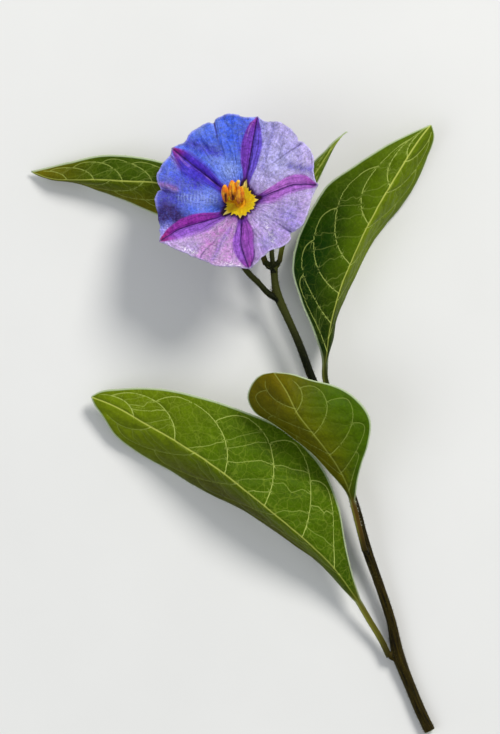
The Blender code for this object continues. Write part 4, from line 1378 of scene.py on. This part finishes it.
cup_marks = {key: with_tube(mark) for key, mark in petal_marks.items()}
corolla_mesh = rolled("corolla_skin", in_flower(cup), cup_marks, caps=False)
petal_finishes = [petal_finish("petal_face", False), petal_finish("petal_back", True)]
corolla = piece("corolla_skin", corolla_mesh, petal_finishes, "corolla")
wall = corolla.modifiers.new("wall", "SOLIDIFY")
wall.thickness = PETAL_THICKNESS * MM
wall.offset = -1.0
wall.material_offset = 1

# %% [markdown]
# ## Stamens
# Five plump anthers stand round the style and lean towards the top of the flower. Each has
# split open along its inner face. Its back and its blunt top are orange; the slit, the seam and the
# side grooves are painted dark brown, shade in these recesses and in the slit partly the brown of
# the opened face, and its foot is painted darker as shade down in the throat. An anther starts as a
# ball that is stretched, squared up and pressed in along its inner side. Five short filaments carry
# them and grow from one flat ring in the throat.

# %% Shape one anther
ANTHER_SEGMENTS = 28
ANTHER_RINGS = 22


def anther(foot, tip, inward, half_width, half_depth, slit, pointed, seam_at):
    """One anther between two places, its inner face towards inward. The slit is its depth, its
    two ends from -1 to 1 up the anther, and its half angle."""
    slit_depth, slit_from, slit_to, slit_angle = slit
    bm = bmesh.new()
    bmesh.ops.create_uvsphere(bm, u_segments=ANTHER_SEGMENTS, v_segments=ANTHER_RINGS, radius=1.0)
    foot, tip = Vector(foot), Vector(tip)
    up = (tip - foot).normalized()
    inner = Vector(inward)
    inner = (inner - up * inner.dot(up)).normalized()
    side = up.cross(inner)
    half_length = (tip - foot).length / 2
    shaded = bm.verts.layers.float.new("recess_shade")
    high = bm.verts.layers.float.new("high")
    around = bm.verts.layers.float.new("around")
    for vert in bm.verts:
        x, y, z = vert.co
        turned_by = math.atan2(y, x)
        fat = max(0.0, 1 - abs(z) ** 2.6) ** 0.5
        fat *= (1.0 - 0.22 * max(-z, 0.0)) * (1.0 - pointed * max(z, 0.0) ** 1.5)
        window = step_up(z, slit_from - 0.15, slit_from + 0.1)
        window *= 1 - step_up(z, slit_to - 0.35, slit_to + 0.25)
        pit = slit_depth * math.exp(-((turned_by / slit_angle) ** 2)) * window
        off_seam = math.radians(turned_from(math.degrees(turned_by - seam_at), 0.0))
        seam = 0.2 * math.exp(-((off_seam / 0.2) ** 2)) * (1 - abs(z) ** 4)
        groove = 0.1 * math.exp(-(((abs(turned_by) - math.pi / 2) / 0.22) ** 2))
        reach = fat * (1 - pit * 0.75 - seam - groove)
        # Painted shade: darker in the slit, along the seam and in the side grooves.
        vert[shaded] = min(1.0, pit * 1.15 + groove * 5 + seam * 3.4)
        vert[high] = z
        vert[around] = turned_by
        across_by = math.sin(turned_by) * reach * half_width
        deep_by = math.cos(turned_by) * reach * half_depth
        vert.co = ((foot + tip) / 2 + up * (z * half_length) + side * across_by + inner * deep_by) * MM
    return as_mesh("anther", bm)


# %% Places of the five anthers, and sizes of filaments and ring
# Foot, tip and inward direction, then half width, half depth, slit, how pointed the tip is and at
# which angle the seam runs
BACK = math.pi
ANTHERS = (
    ((-1.1, 38.05, 14.4), (-1.25, 41.0, 16.6), (0.2, -0.4, 1.0), 0.68, 0.66,
     (0.85, -0.9, 0.25, 0.7), 0.2, BACK),
    ((0.1, 38.4, 14.6), (-0.02, 41.75, 16.7), (0.35, -0.8, 0.5), 0.76, 0.66,
     (0.85, -0.9, -0.25, 0.68), 0.2, -0.5),
    ((1.12, 37.85, 15.2), (1.2, 40.75, 17.6), (-0.3, 0.75, -0.6), 0.58, 0.55,
     (0.5, -0.6, 0.3, 0.5), 0.5, 0.42 - BACK),
    ((1.66, 38.1, 14.5), (1.55, 40.75, 16.6), (-0.9, 0.1, -0.3), 0.44, 0.5,
     (0.6, -0.6, 0.3, 0.5), 0.35, BACK),
    ((0.75, 39.2, 13.9), (0.8, 41.55, 15.9), (0.0, -0.4, 0.9), 0.56, 0.55,
     (0.6, -0.6, 0.3, 0.5), 0.2, BACK),
)
# Radii of a filament at its root, its middle and its top, and how far off the axis it stands
FILAMENT_RADII = (0.2, 0.18, 0.18)
FILAMENT_STANDS = 0.35
RING_RADIUS = 0.74
RING_HALF_WIDTH = 0.6
RING_HALF_HEIGHT = 0.1
RING_HEIGHT = -3.42
print("anther lengths in mm:", [round(math.dist(foot, tip), 1) for foot, tip, *_ in ANTHERS])

# %% Several meshes as one, and a round stalk
def joined(name, parts):
    """Several meshes as one, with their attributes."""
    whole = bmesh.new()
    for part in parts:
        whole.from_mesh(part)
        bpy.data.meshes.remove(part)
    mesh = as_mesh(name, whole)
    mesh.shade_smooth()
    return mesh


def stalk_points(points, sides, count):
    """A round stalk along a path whose fourth number is its radius, as points in rows."""
    path = smooth_path(points, count)
    ahead = unit(np.gradient(path[:, :3], axis=0))
    level = unit(np.cross(ahead, (0.31, 0.17, 0.93)))
    third = np.cross(ahead, level)
    angle = np.linspace(0, 2 * math.pi, sides + 1)[:, None]
    ring = np.cos(angle) * level[:, None] + np.sin(angle) * third[:, None]
    return path[:, None, :3] + ring * path[:, None, 3:4]


def stalk(points, sides, count):
    return rolled("stalk", stalk_points(points, sides, count), {"fleshy": np.ones((count, sides + 1))})


# %% Set the stamens in their places
parts = [anther(*settings) for settings in ANTHERS]
for foot, tip, *_ in ANTHERS:
    top = np.array(foot) + 0.12 * (np.array(tip) - foot)
    off_axis = ((np.array(foot) - FLOWER_CENTRE) @ flower_turn)[:2]
    off_axis = off_axis / max(np.linalg.norm(off_axis), 0.1) * FILAMENT_STANDS
    root = in_flower((*off_axis, RING_HEIGHT))
    route = zip((root, (root + top) / 2, top), FILAMENT_RADII)
    parts.append(stalk([(*place, radius) for place, radius in route], 10, 8))
round_ring, round_wall = np.meshgrid(np.linspace(0, 2 * math.pi, 61), np.linspace(0, 2 * math.pi, 19))
reach = RING_RADIUS + RING_HALF_WIDTH * np.cos(round_wall) + 0.04 * np.sin(round_ring * 5)
ring_points = round_axis(round_ring, reach, RING_HEIGHT + RING_HALF_HEIGHT * np.sin(round_wall))
parts.append(rolled("ring", in_flower(ring_points), {"fleshy": np.ones_like(reach)}, caps=False))
stamen_mesh = joined("stamens_skin", parts)
print("anthers:", len(ANTHERS))

# %% Orange, with painted shade in its hollows and at its foot
pollen = Finish("anther_orange", Specular_IOR_Level=0.35)
pollen_grain = pollen.noise(pollen.place(), 0.16 * MM, 3.0)
pollen_patch = pollen.noise(pollen.place(), 0.7 * MM, 2.0)
# Painted shade in the recesses, dark brown, in the slit partly the brown of the opened face.
inside = pollen.ramp(pollen.mark("recess_shade") + 0.8 * (pollen_grain - 0.5), 0.2, 0.85)
fibres = pollen.mark("around") * 1.9 + 0.5 * pollen_patch
fibres = pollen.line(fibres.maths("FRACT", fibres) - 0.5, 0.12)
yellow = pollen.mix(srgb(228, 164, 0), srgb(204, 134, 0), pollen.ramp(pollen_grain, 0.4, 0.7) * 0.5)
anther_colour = pollen.over(
    srgb(238, 126, 4),
    (srgb(255, 184, 26), pollen.ramp(pollen_patch, 0.38, 0.6)),
    # Painted shade: darker towards the foot, down in the throat.
    (srgb(168, 72, 6), pollen.ramp(pollen.mark("high"), 0.1, -1.0, 0.0, 0.85)),
    (srgb(176, 70, 4), fibres * 0.45),
    (srgb(78, 20, 4), inside),
    (srgb(255, 214, 130), pollen.ramp(pollen_grain, 0.6, 0.72) * 0.3),
    (yellow, pollen.mark("fleshy")),
)
anther_bump = pollen.bump(pollen_grain, 0.05, 0.6)
anther_roughness = 0.42 + 0.25 * pollen_grain
anther_material = pollen.finish(Base_Color=anther_colour, Roughness=anther_roughness, Normal=anther_bump)
piece("stamens_skin", stamen_mesh, [anther_material], "stamens")

# %% [markdown]
# ## Pistil
# The style comes up through the throat, bends with the anthers and ends in a small pale knob,
# the stigma. Its ovary is hidden in the calyx. A stalk with a changing radius gives all three
# in one skin.

# %% Ovary, style and stigma in one
STYLE_TIP = np.array((1.05, 41.62, 17.15))
STYLE_SIDES = 18
STYLE_ROWS = 90
# Height along the flower's axis and radius, from the foot of the ovary to the throat
OVARY = ((-6.4, 0.3), (-6.1, 0.9), (-5.6, 1.12), (-5.1, 0.85), (-4.7, 0.3), (-3.8, 0.24))
pistil_route = [(*in_flower((0, 0, height)), radius) for height, radius in OVARY] + [
    (*in_flower((-0.15, 0.05, -2.4)), 0.22), (0.95, 39.3, 15.2, 0.2), (1.05, 40.6, 16.35, 0.2),
    (*(STYLE_TIP - (0, 0.4, 0.35)), 0.22), (*(STYLE_TIP - (0, 0.2, 0.17)), 0.29), (*STYLE_TIP, 0.27),
    (*(STYLE_TIP + (0, 0.12, 0.1)), 0.12),
]
style_points = stalk_points(pistil_route, STYLE_SIDES, STYLE_ROWS)
up_the_style = np.repeat(np.linspace(0, 1, STYLE_ROWS)[:, None], STYLE_SIDES + 1, axis=1)
pistil_mesh = rolled("pistil_skin", style_points, {"up": up_the_style})
cream = Finish("style_cream", Specular_IOR_Level=0.35, Subsurface_Weight=0.1, Subsurface_Scale=0.001)
cream_grain = cream.noise(cream.place(), 0.2 * MM, 3.0)
cream_colour = cream.over(
    srgb(150, 176, 84),
    (srgb(238, 206, 96), cream.ramp(cream.mark("up"), 0.25, 0.6)),
    (srgb(248, 200, 60), cream.ramp(cream.mark("up"), 0.9, 0.97)),
    (srgb(206, 168, 70), cream.ramp(cream_grain, 0.5, 0.75) * 0.5),
)
cream_bump = cream.bump(cream_grain, 0.03, 0.6)
cream_material = cream.finish(Base_Color=cream_colour, Roughness=0.4 + 0.3 * cream_grain, Normal=cream_bump)
piece("pistil_skin", pistil_mesh, [cream_material], "pistil")

# %% [markdown]
# ## Calyx
# Behind the petals sits a small green cup with ten narrow teeth that spread under the corolla.
# Each tooth runs down the cup as a rib. The grid is wrapped once more: its columns are longer
# where a tooth stands, and a Solidify modifier gives the thin wall.

# %% Shape the cup
CALYX_BASE = -7.4
CALYX_RIM = -4.5
CALYX_RADIUS = 2.55
CALYX_TEETH = 10
CALYX_WALL = 0.28
TOOTH_REACH = 4.15
TOOTH_TOP = -3.5
# How much of the way up is cup, and the cup's radius at shares of its height
CUP_SHARE = 0.68
CUP_PROFILE = ((0, 0.02), (0.06, 0.5), (0.2, 1.5), (0.42, 2.25), (0.7, CALYX_RADIUS), (1.0, CALYX_RADIUS))
turn_grid, up_grid = np.meshgrid(np.linspace(0, 2 * math.pi, 181), np.linspace(0, 1, 40))
tooth = np.abs(np.cos(turn_grid * CALYX_TEETH / 2)) ** 3.2
cup_share = np.clip(up_grid / CUP_SHARE, 0, 1)
tooth_share = np.clip((up_grid - CUP_SHARE) / (1 - CUP_SHARE), 0, 1)
reach_out = tooth * tooth_share
cup_radius = through(cup_share, CUP_PROFILE) + 0.12 * tooth * cup_share
cup_radius = cup_radius + (TOOTH_REACH - CALYX_RADIUS) * reach_out
cup_height = CALYX_BASE + (CALYX_RIM - CALYX_BASE) * cup_share**1.3
cup_height = cup_height + (TOOTH_TOP - CALYX_RIM) * reach_out**0.8 + 0.12 * tooth_share
cup_points = round_axis(turn_grid, cup_radius, cup_height)
cup_points[..., 2] += 0.06 * noise_at(cup_points, 0.9, 3.0) * cup_share
calyx_mesh = rolled("calyx_skin", in_flower(cup_points), {"up": up_grid, "tooth": tooth}, caps=False)
print("calyx teeth:", CALYX_TEETH)

# %% Fresh green for calyx and bud
def sepal_finish(name):
    sepal = Finish(name, Specular_IOR_Level=0.25, Sheen_Weight=0.25, Sheen_Roughness=0.5,
                   Sheen_Tint=srgb(210, 225, 190))
    grain = sepal.noise(sepal.place(), 0.3 * MM, 3.0)
    patch = sepal.noise(sepal.place(), 1.4 * MM, 2.0)
    colour = sepal.over(
        srgb(62, 84, 36),
        (srgb(92, 116, 44), sepal.ramp(patch, 0.3, 0.7)),
        (srgb(128, 148, 74), sepal.mark("tooth") * 0.45),
        (srgb(86, 62, 66), sepal.ramp(sepal.mark("up"), 0.75, 1.0, 0.0, 0.4)),
    )
    colour = sepal.shaded(colour, 0.75 + 0.4 * grain)
    return sepal.finish(Base_Color=colour, Roughness=0.5 + 0.2 * grain, Normal=sepal.bump(grain, 0.05, 0.7))


calyx_obj = piece("calyx_skin", calyx_mesh, [sepal_finish("calyx_green")], "calyx")
calyx_wall = calyx_obj.modifiers.new("wall", "SOLIDIFY")
calyx_wall.thickness = CALYX_WALL * MM
calyx_wall.offset = 1.0

# %% [markdown]
# ## Bud
# The young bud is still shut in its own green calyx, ribbed like the one above and drawn to a
# blunt point. Its shape is that of its kind. The grid is wrapped round once more.

# %% Shape the bud
BUD_BASE = np.array((7.05, 33.9, 4.35))
BUD_DIRECTION = Vector((0.1, 1.0, -0.25))
BUD_LENGTH = 4.0
BUD_RADIUS = 1.22
BUD_PROFILE = ((0, 0.1), (0.04, 0.5), (0.16, 0.85), (0.42, 1.0), (0.7, 0.78), (0.88, 0.42), (0.97, 0.18),
               (1, 0.02))
turn_grid, up_grid = np.meshgrid(np.linspace(0, 2 * math.pi, 101), np.linspace(0, 1, 60))
fifth = turn_grid * 5 / 2 + 0.3
bud_rib = np.abs(np.cos(fifth)) ** 2
bud_seam = hump(np.abs(np.sin(fifth)) - 1.0, 0.12) * step_up(up_grid, 0.45, 0.7)
bud_radius = BUD_RADIUS * through(up_grid, BUD_PROFILE) * (0.92 + 0.08 * bud_rib) * (1 - 0.12 * bud_seam)
bud_points = round_axis(turn_grid, bud_radius, up_grid * BUD_LENGTH)
bud_points = bud_points + 0.03 * noise_at(bud_points, 0.6, 5.0)[..., None]
bud_points[:, -1] = bud_points[:, 0]
bud_turned = np.array(BUD_DIRECTION.to_track_quat("Z", "Y").to_matrix())
bud_marks = {"up": up_grid * 0.85, "tooth": bud_rib}
bud_mesh = rolled("bud_skin", bud_points @ bud_turned.T + BUD_BASE, bud_marks)
piece("bud_skin", bud_mesh, [sepal_finish("bud_green")], "bud")

# %% [markdown]
# ## Stem
# The stem zigzags a little from leaf to leaf, swells where a leaf stalk joins it and forks near
# the top. Round stalks that cross each other leave hard seams. So they are laid into one
# another, turned into a single skin by a voxel Remesh, and then smoothed, which fills the forks
# with a soft web as in a living plant.

# %% The routes of stem and stalks, each point with its radius
MAIN_STEM = (
    (33.9, -52.1, 1.0, 1.0), (32.4, -49.0, 1.0, 0.98), (30.0, -43.2, 1.05, 0.98), (28.7, -39.9, 1.2, 1.07),
    (27.1, -32.8, 1.7, 0.84), (24.8, -25.9, 2.4, 0.82), (23.0, -20.8, 3.0, 0.86), (21.5, -15.1, 3.6, 0.77),
    (19.8, -9.6, 4.0, 0.75), (18.0, -3.6, 4.3, 0.75), (16.3, 2.0, 4.5, 0.85), (13.5, 8.7, 4.8, 0.74),
    (11.4, 14.3, 5.0, 0.70), (9.2, 19.3, 5.1, 0.70), (7.7, 22.7, 5.2, 0.78), (7.2, 25.4, 5.3, 0.64),
    (7.1, 27.2, 5.4, 0.70),
)
FLOWER_STALK = (
    (7.7, 21.9, 5.2, 0.5), (6.3, 22.8, 5.5, 0.55), (4.5, 24.7, 5.9, 0.54), (2.1, 27.3, 6.2, 0.54),
    (1.3, 29.7, 6.0, 0.54), (1.8, 32.6, 5.6, 0.56),
    (*in_flower((0, 0, CALYX_BASE - 2.2)), 0.6), (*in_flower((0, 0, CALYX_BASE + 0.1)), 0.85),
)
BUD_STALK = (
    (7.1, 26.6, 5.4, 0.45), (6.8, 28.8, 5.4, 0.44), (6.7, 30.2, 5.2, 0.44), (6.8, 31.9, 4.9, 0.46),
    (6.98, 33.2, 4.55, 0.5), (7.05, 34.0, 4.33, 0.55),
)
KNUCKLE_STRETCH = 1.5
KNUCKLE_SIZE = 1.12


def nearest_in_stem(x, y):
    """The place on the stem's middle line that is nearest to this one, seen from above."""
    path = smooth_path(MAIN_STEM, 300)[:, :3]
    return path[np.argmin(np.hypot(path[:, 0] - x, path[:, 1] - y))]


def knuckle(foot, ahead, size):
    """A small swelling of the stem under the foot of a leaf stalk."""
    bm = bmesh.new()
    bmesh.ops.create_uvsphere(bm, u_segments=16, v_segments=10, radius=size * MM)
    turn = Vector(ahead).to_track_quat("Z", "Y").to_matrix().to_4x4()
    matrix = Matrix.Translation(Vector(foot) * MM) @ turn @ Matrix.Diagonal((1.0, 1.0, KNUCKLE_STRETCH, 1.0))
    bmesh.ops.transform(bm, matrix=matrix, verts=bm.verts[:])
    return as_mesh("knuckle", bm)


stem_parts = [stalk(MAIN_STEM, 24, 330), stalk(FLOWER_STALK, 20, 110), stalk(BUD_STALK, 18, 50)]
for leaf in LEAVES.values():
    foot, following = np.array(leaf["petiole"][:2])
    base = nearest_in_stem(foot[0], foot[1])
    size = leaf["petiole_half_width"] * KNUCKLE_SIZE
    ahead = unit(following - foot)
    stem_parts.append(knuckle(foot * 0.75 + base * 0.25, ahead, size))
    route = [(*base, size), (*(foot * 0.6 + base * 0.4), size), (*(foot + ahead * 0.5), size * 0.9)]
    stem_parts.append(stalk(route, 16, 10))
stem_rough = joined("stem_rough", stem_parts)
print("parts laid into one another:", len(stem_parts))

# %% One skin by voxels, then smoothing
VOXEL = 0.13
SMOOTHINGS = 5


def one_skin(mesh, voxel):
    """The outer skin of overlapping shapes. It is worked out a thousand times larger, where
    voxels of a tenth of a millimetre are no problem."""
    mesh.transform(Matrix.Scale(1 / MM, 4))
    helper = linked("helper", mesh)
    remesh = helper.modifiers.new("skin", "REMESH")
    remesh.mode = "VOXEL"
    remesh.voxel_size = voxel
    graph = bpy.context.evaluated_depsgraph_get()
    skin = bpy.data.meshes.new_from_object(helper.evaluated_get(graph))
    bpy.data.objects.remove(helper)
    return skin


stem_mesh = one_skin(stem_rough, VOXEL)
bm = bmesh.new()
bm.from_mesh(stem_mesh)
for _ in range(SMOOTHINGS):
    bmesh.ops.smooth_vert(bm, verts=bm.verts[:], factor=0.5, use_axis_x=True, use_axis_y=True,
                          use_axis_z=True)
bm.to_mesh(stem_mesh)
bm.free()
print("points of the stem's skin:", len(stem_mesh.vertices))

# %% Ridges along the stem, and the marks for its finish
RIDGE_HEIGHT = 0.045
LUMP_HEIGHT = 0.04
# For the stem, the flower's stalk and the bud's: how many places the middle line is read at, and
# from where to where the value "along" runs
STRETCHES = ((MAIN_STEM, 500, 0.0, 1.0), (FLOWER_STALK, 160, 0.8, 1.1), (BUD_STALK, 60, 0.8, 1.0))
stem_paths = [smooth_path(route, count) for route, count, _, _ in STRETCHES]
spine = np.concatenate(stem_paths)
spine_along = np.concatenate([np.linspace(first, last, count) for _, count, first, last in STRETCHES])
spine_ahead = np.concatenate([unit(np.gradient(path[:, :3], axis=0)) for path in stem_paths])
skin = np.empty(len(stem_mesh.vertices) * 3, np.float32)
stem_mesh.vertices.foreach_get("co", skin)
skin = skin.reshape(-1, 3).astype(float)
index, _ = nearest(skin, spine[:, :3])
away = skin - spine[index, :3]
ahead = spine_ahead[index]
away = away - ahead * (away * ahead).sum(axis=1, keepdims=True)
outwards = unit(away + 1e-9)
stretched = outwards * 2.2 + ahead * (spine_along[index] * 9.0)[:, None]
ridge = noise_at(stretched, 0.5, 3.0)
lump = noise_at(skin, 2.2, 6.0)
skin = skin + outwards * (RIDGE_HEIGHT * ridge + LUMP_HEIGHT * lump - 0.02)[:, None]
skin[:, 2] = np.maximum(skin[:, 2], 0.0)
stem_mesh.vertices.foreach_set("co", (skin * MM).astype(np.float32).ravel())
cut_face = 1 - step_up((skin - np.array(MAIN_STEM[0][:3])) @ spine_ahead[0], 0.02, 0.1)
stem_marks = {
    "along": spine_along[index],
    "around": stretched,
    "cut": cut_face * (skin[:, 1] < MAIN_STEM[0][1] + 1.5),
    "from_middle": np.linalg.norm(away, axis=1),
}
for key, values in stem_marks.items():
    write_mark(stem_mesh, key, values)
stem_mesh.shade_smooth()
print("ridges up to", round(RIDGE_HEIGHT * float(ridge.max()), 3), "mm high")

# %% Brown olive below, dark green above
bark = Finish("stem_green", Specular_IOR_Level=0.07, Sheen_Weight=0.02, Sheen_Roughness=0.35,
              Sheen_Tint=srgb(190, 205, 160))
bark_grain = bark.noise(bark.place(), 0.25 * MM, 3.0)
bark_streak = bark.noise(bark.mark_vector("around"), 0.4, 3.0)
streaky = bark.ramp(bark_streak, 0.35, 0.7)
along = bark.mark("along")
low_colour = bark.mix(srgb(10, 6, 0), srgb(58, 48, 6), streaky)
high_colour = bark.mix(srgb(6, 9, 2), srgb(20, 25, 8), streaky)
pith = bark.mix(srgb(206, 208, 160), srgb(120, 140, 76), bark.ramp(bark.mark("from_middle"), 0.5, 0.8))
bark_colour = bark.over(
    low_colour,
    (high_colour, bark.ramp(along, 0.3, 0.75)),
    (srgb(62, 66, 24), bark.ramp(along, 0.8, 0.92, 0.0, 0.75)),
    (srgb(104, 92, 36), bark.ramp(bark_grain, 0.6, 0.74) * 0.2),
    (pith, bark.mark("cut")),
)
bark_bump = bark.bump(bark_grain + bark_streak, 0.05, 0.7)
bark_material = bark.finish(Base_Color=bark_colour, Roughness=0.5 + 0.2 * bark_grain, Normal=bark_bump)
piece("stem_skin", stem_mesh, [bark_material], "stem")

# %% [markdown]
# ## Hairs
# Young stems, leaf stalks and leaf margins of this bush carry short pale hairs. They are too
# fine to be seen one by one from a step away, but together they draw the light line along every
# edge. Each is a three-sided cone of a few faces, set by a seeded random draw.

# %% Many small cones in one mesh
HAIR_RADIUS = 0.028
HAIR_TIP_SHARE = 0.15
hair_rng = np.random.default_rng(23)


def hair_mesh(name, roots, ways, lengths):
    bm = bmesh.new()
    for root, way, length in zip(roots, ways, lengths):
        turn = Vector(way).to_track_quat("Z", "Y").to_matrix().to_4x4()
        matrix = Matrix.Translation(Vector(root) * MM) @ turn @ Matrix.Translation((0, 0, length / 2 * MM))
        bmesh.ops.create_cone(bm, cap_ends=True, segments=3, radius1=HAIR_RADIUS * MM,
                              radius2=HAIR_RADIUS * MM * HAIR_TIP_SHARE, depth=length * MM, matrix=matrix)
    return as_mesh(name, bm)


def hair_finish(name, dark, pale, gloss, roughness):
    hair = Finish(name, Specular_IOR_Level=gloss)
    colour = hair.mix(dark, pale, hair.noise(hair.place(), 1.0 * MM))
    return hair.finish(Base_Color=colour, Roughness=roughness + 0.2 * hair.noise(hair.place(), 0.5 * MM))


fuzz_material = hair_finish("pale_hair", srgb(196, 204, 176), srgb(228, 230, 210), 0.3, 0.45)
olive_material = hair_finish("olive_hair", srgb(56, 56, 22), srgb(112, 112, 62), 0.1, 0.5)
print("thickest part of a hair:", 2 * HAIR_RADIUS, "mm")

# %% Hairs along the margins of the leaves
HAIRS_PER_MM = 6.0
for name, blade in blades.items():
    roots, ways = [], []
    for side in (-1.0, 1.0):
        count = int(blade.length * HAIRS_PER_MM)
        along = np.sort(hair_rng.uniform(-0.2, 0.995, count))
        edge = blade.at(along, np.full(count, side))
        inner = blade.at(along, np.full(count, side * 0.9))
        outward_way = unit(edge - inner)
        tipward = unit(blade.at(along + 0.01, np.full(count, side)) - edge)
        roots.append(edge - outward_way * 0.03)
        ways.append(outward_way + 0.5 * tipward + hair_rng.normal(0, 0.35, (count, 3)) + (0, 0, 0.1))
    roots, ways = np.concatenate(roots), unit(np.concatenate(ways))
    lengths = hair_rng.uniform(0.16, 0.38, len(roots))
    ways[:, 2] = np.where(roots[:, 2] < 0.4, np.abs(ways[:, 2]), ways[:, 2])
    roots[:, 2] = np.maximum(roots[:, 2], 0.05)
    piece(name + "_hairs", hair_mesh(name + "_hairs", roots, ways, lengths), [fuzz_material])

# %% Hairs on the stem, thicker in the fork
STEM_HAIRS = 2600
TUFT_HAIRS = 60
FORK = np.array((7.0, 23.3, 5.6))
picked = hair_rng.choice(len(skin), STEM_HAIRS, replace=False)
picked = picked[skin[picked, 2] > 0.35]
stem_ways = unit(outwards[picked] + 0.35 * ahead[picked] + hair_rng.normal(0, 0.3, (len(picked), 3)))
stem_lengths = hair_rng.uniform(0.16, 0.36, len(picked))
tuft_roots = FORK + hair_rng.normal(0, 0.28, (TUFT_HAIRS, 3))
tuft_ways = unit(hair_rng.normal(0, 0.5, (TUFT_HAIRS, 3)) + (-0.3, 0.9, 0.6))
all_roots = np.concatenate([skin[picked], tuft_roots])
all_ways = np.concatenate([stem_ways, tuft_ways])
all_lengths = np.concatenate([stem_lengths, hair_rng.uniform(0.3, 0.55, TUFT_HAIRS)])
piece("stem_hairs", hair_mesh("stem_hairs", all_roots, all_ways, all_lengths), [olive_material])
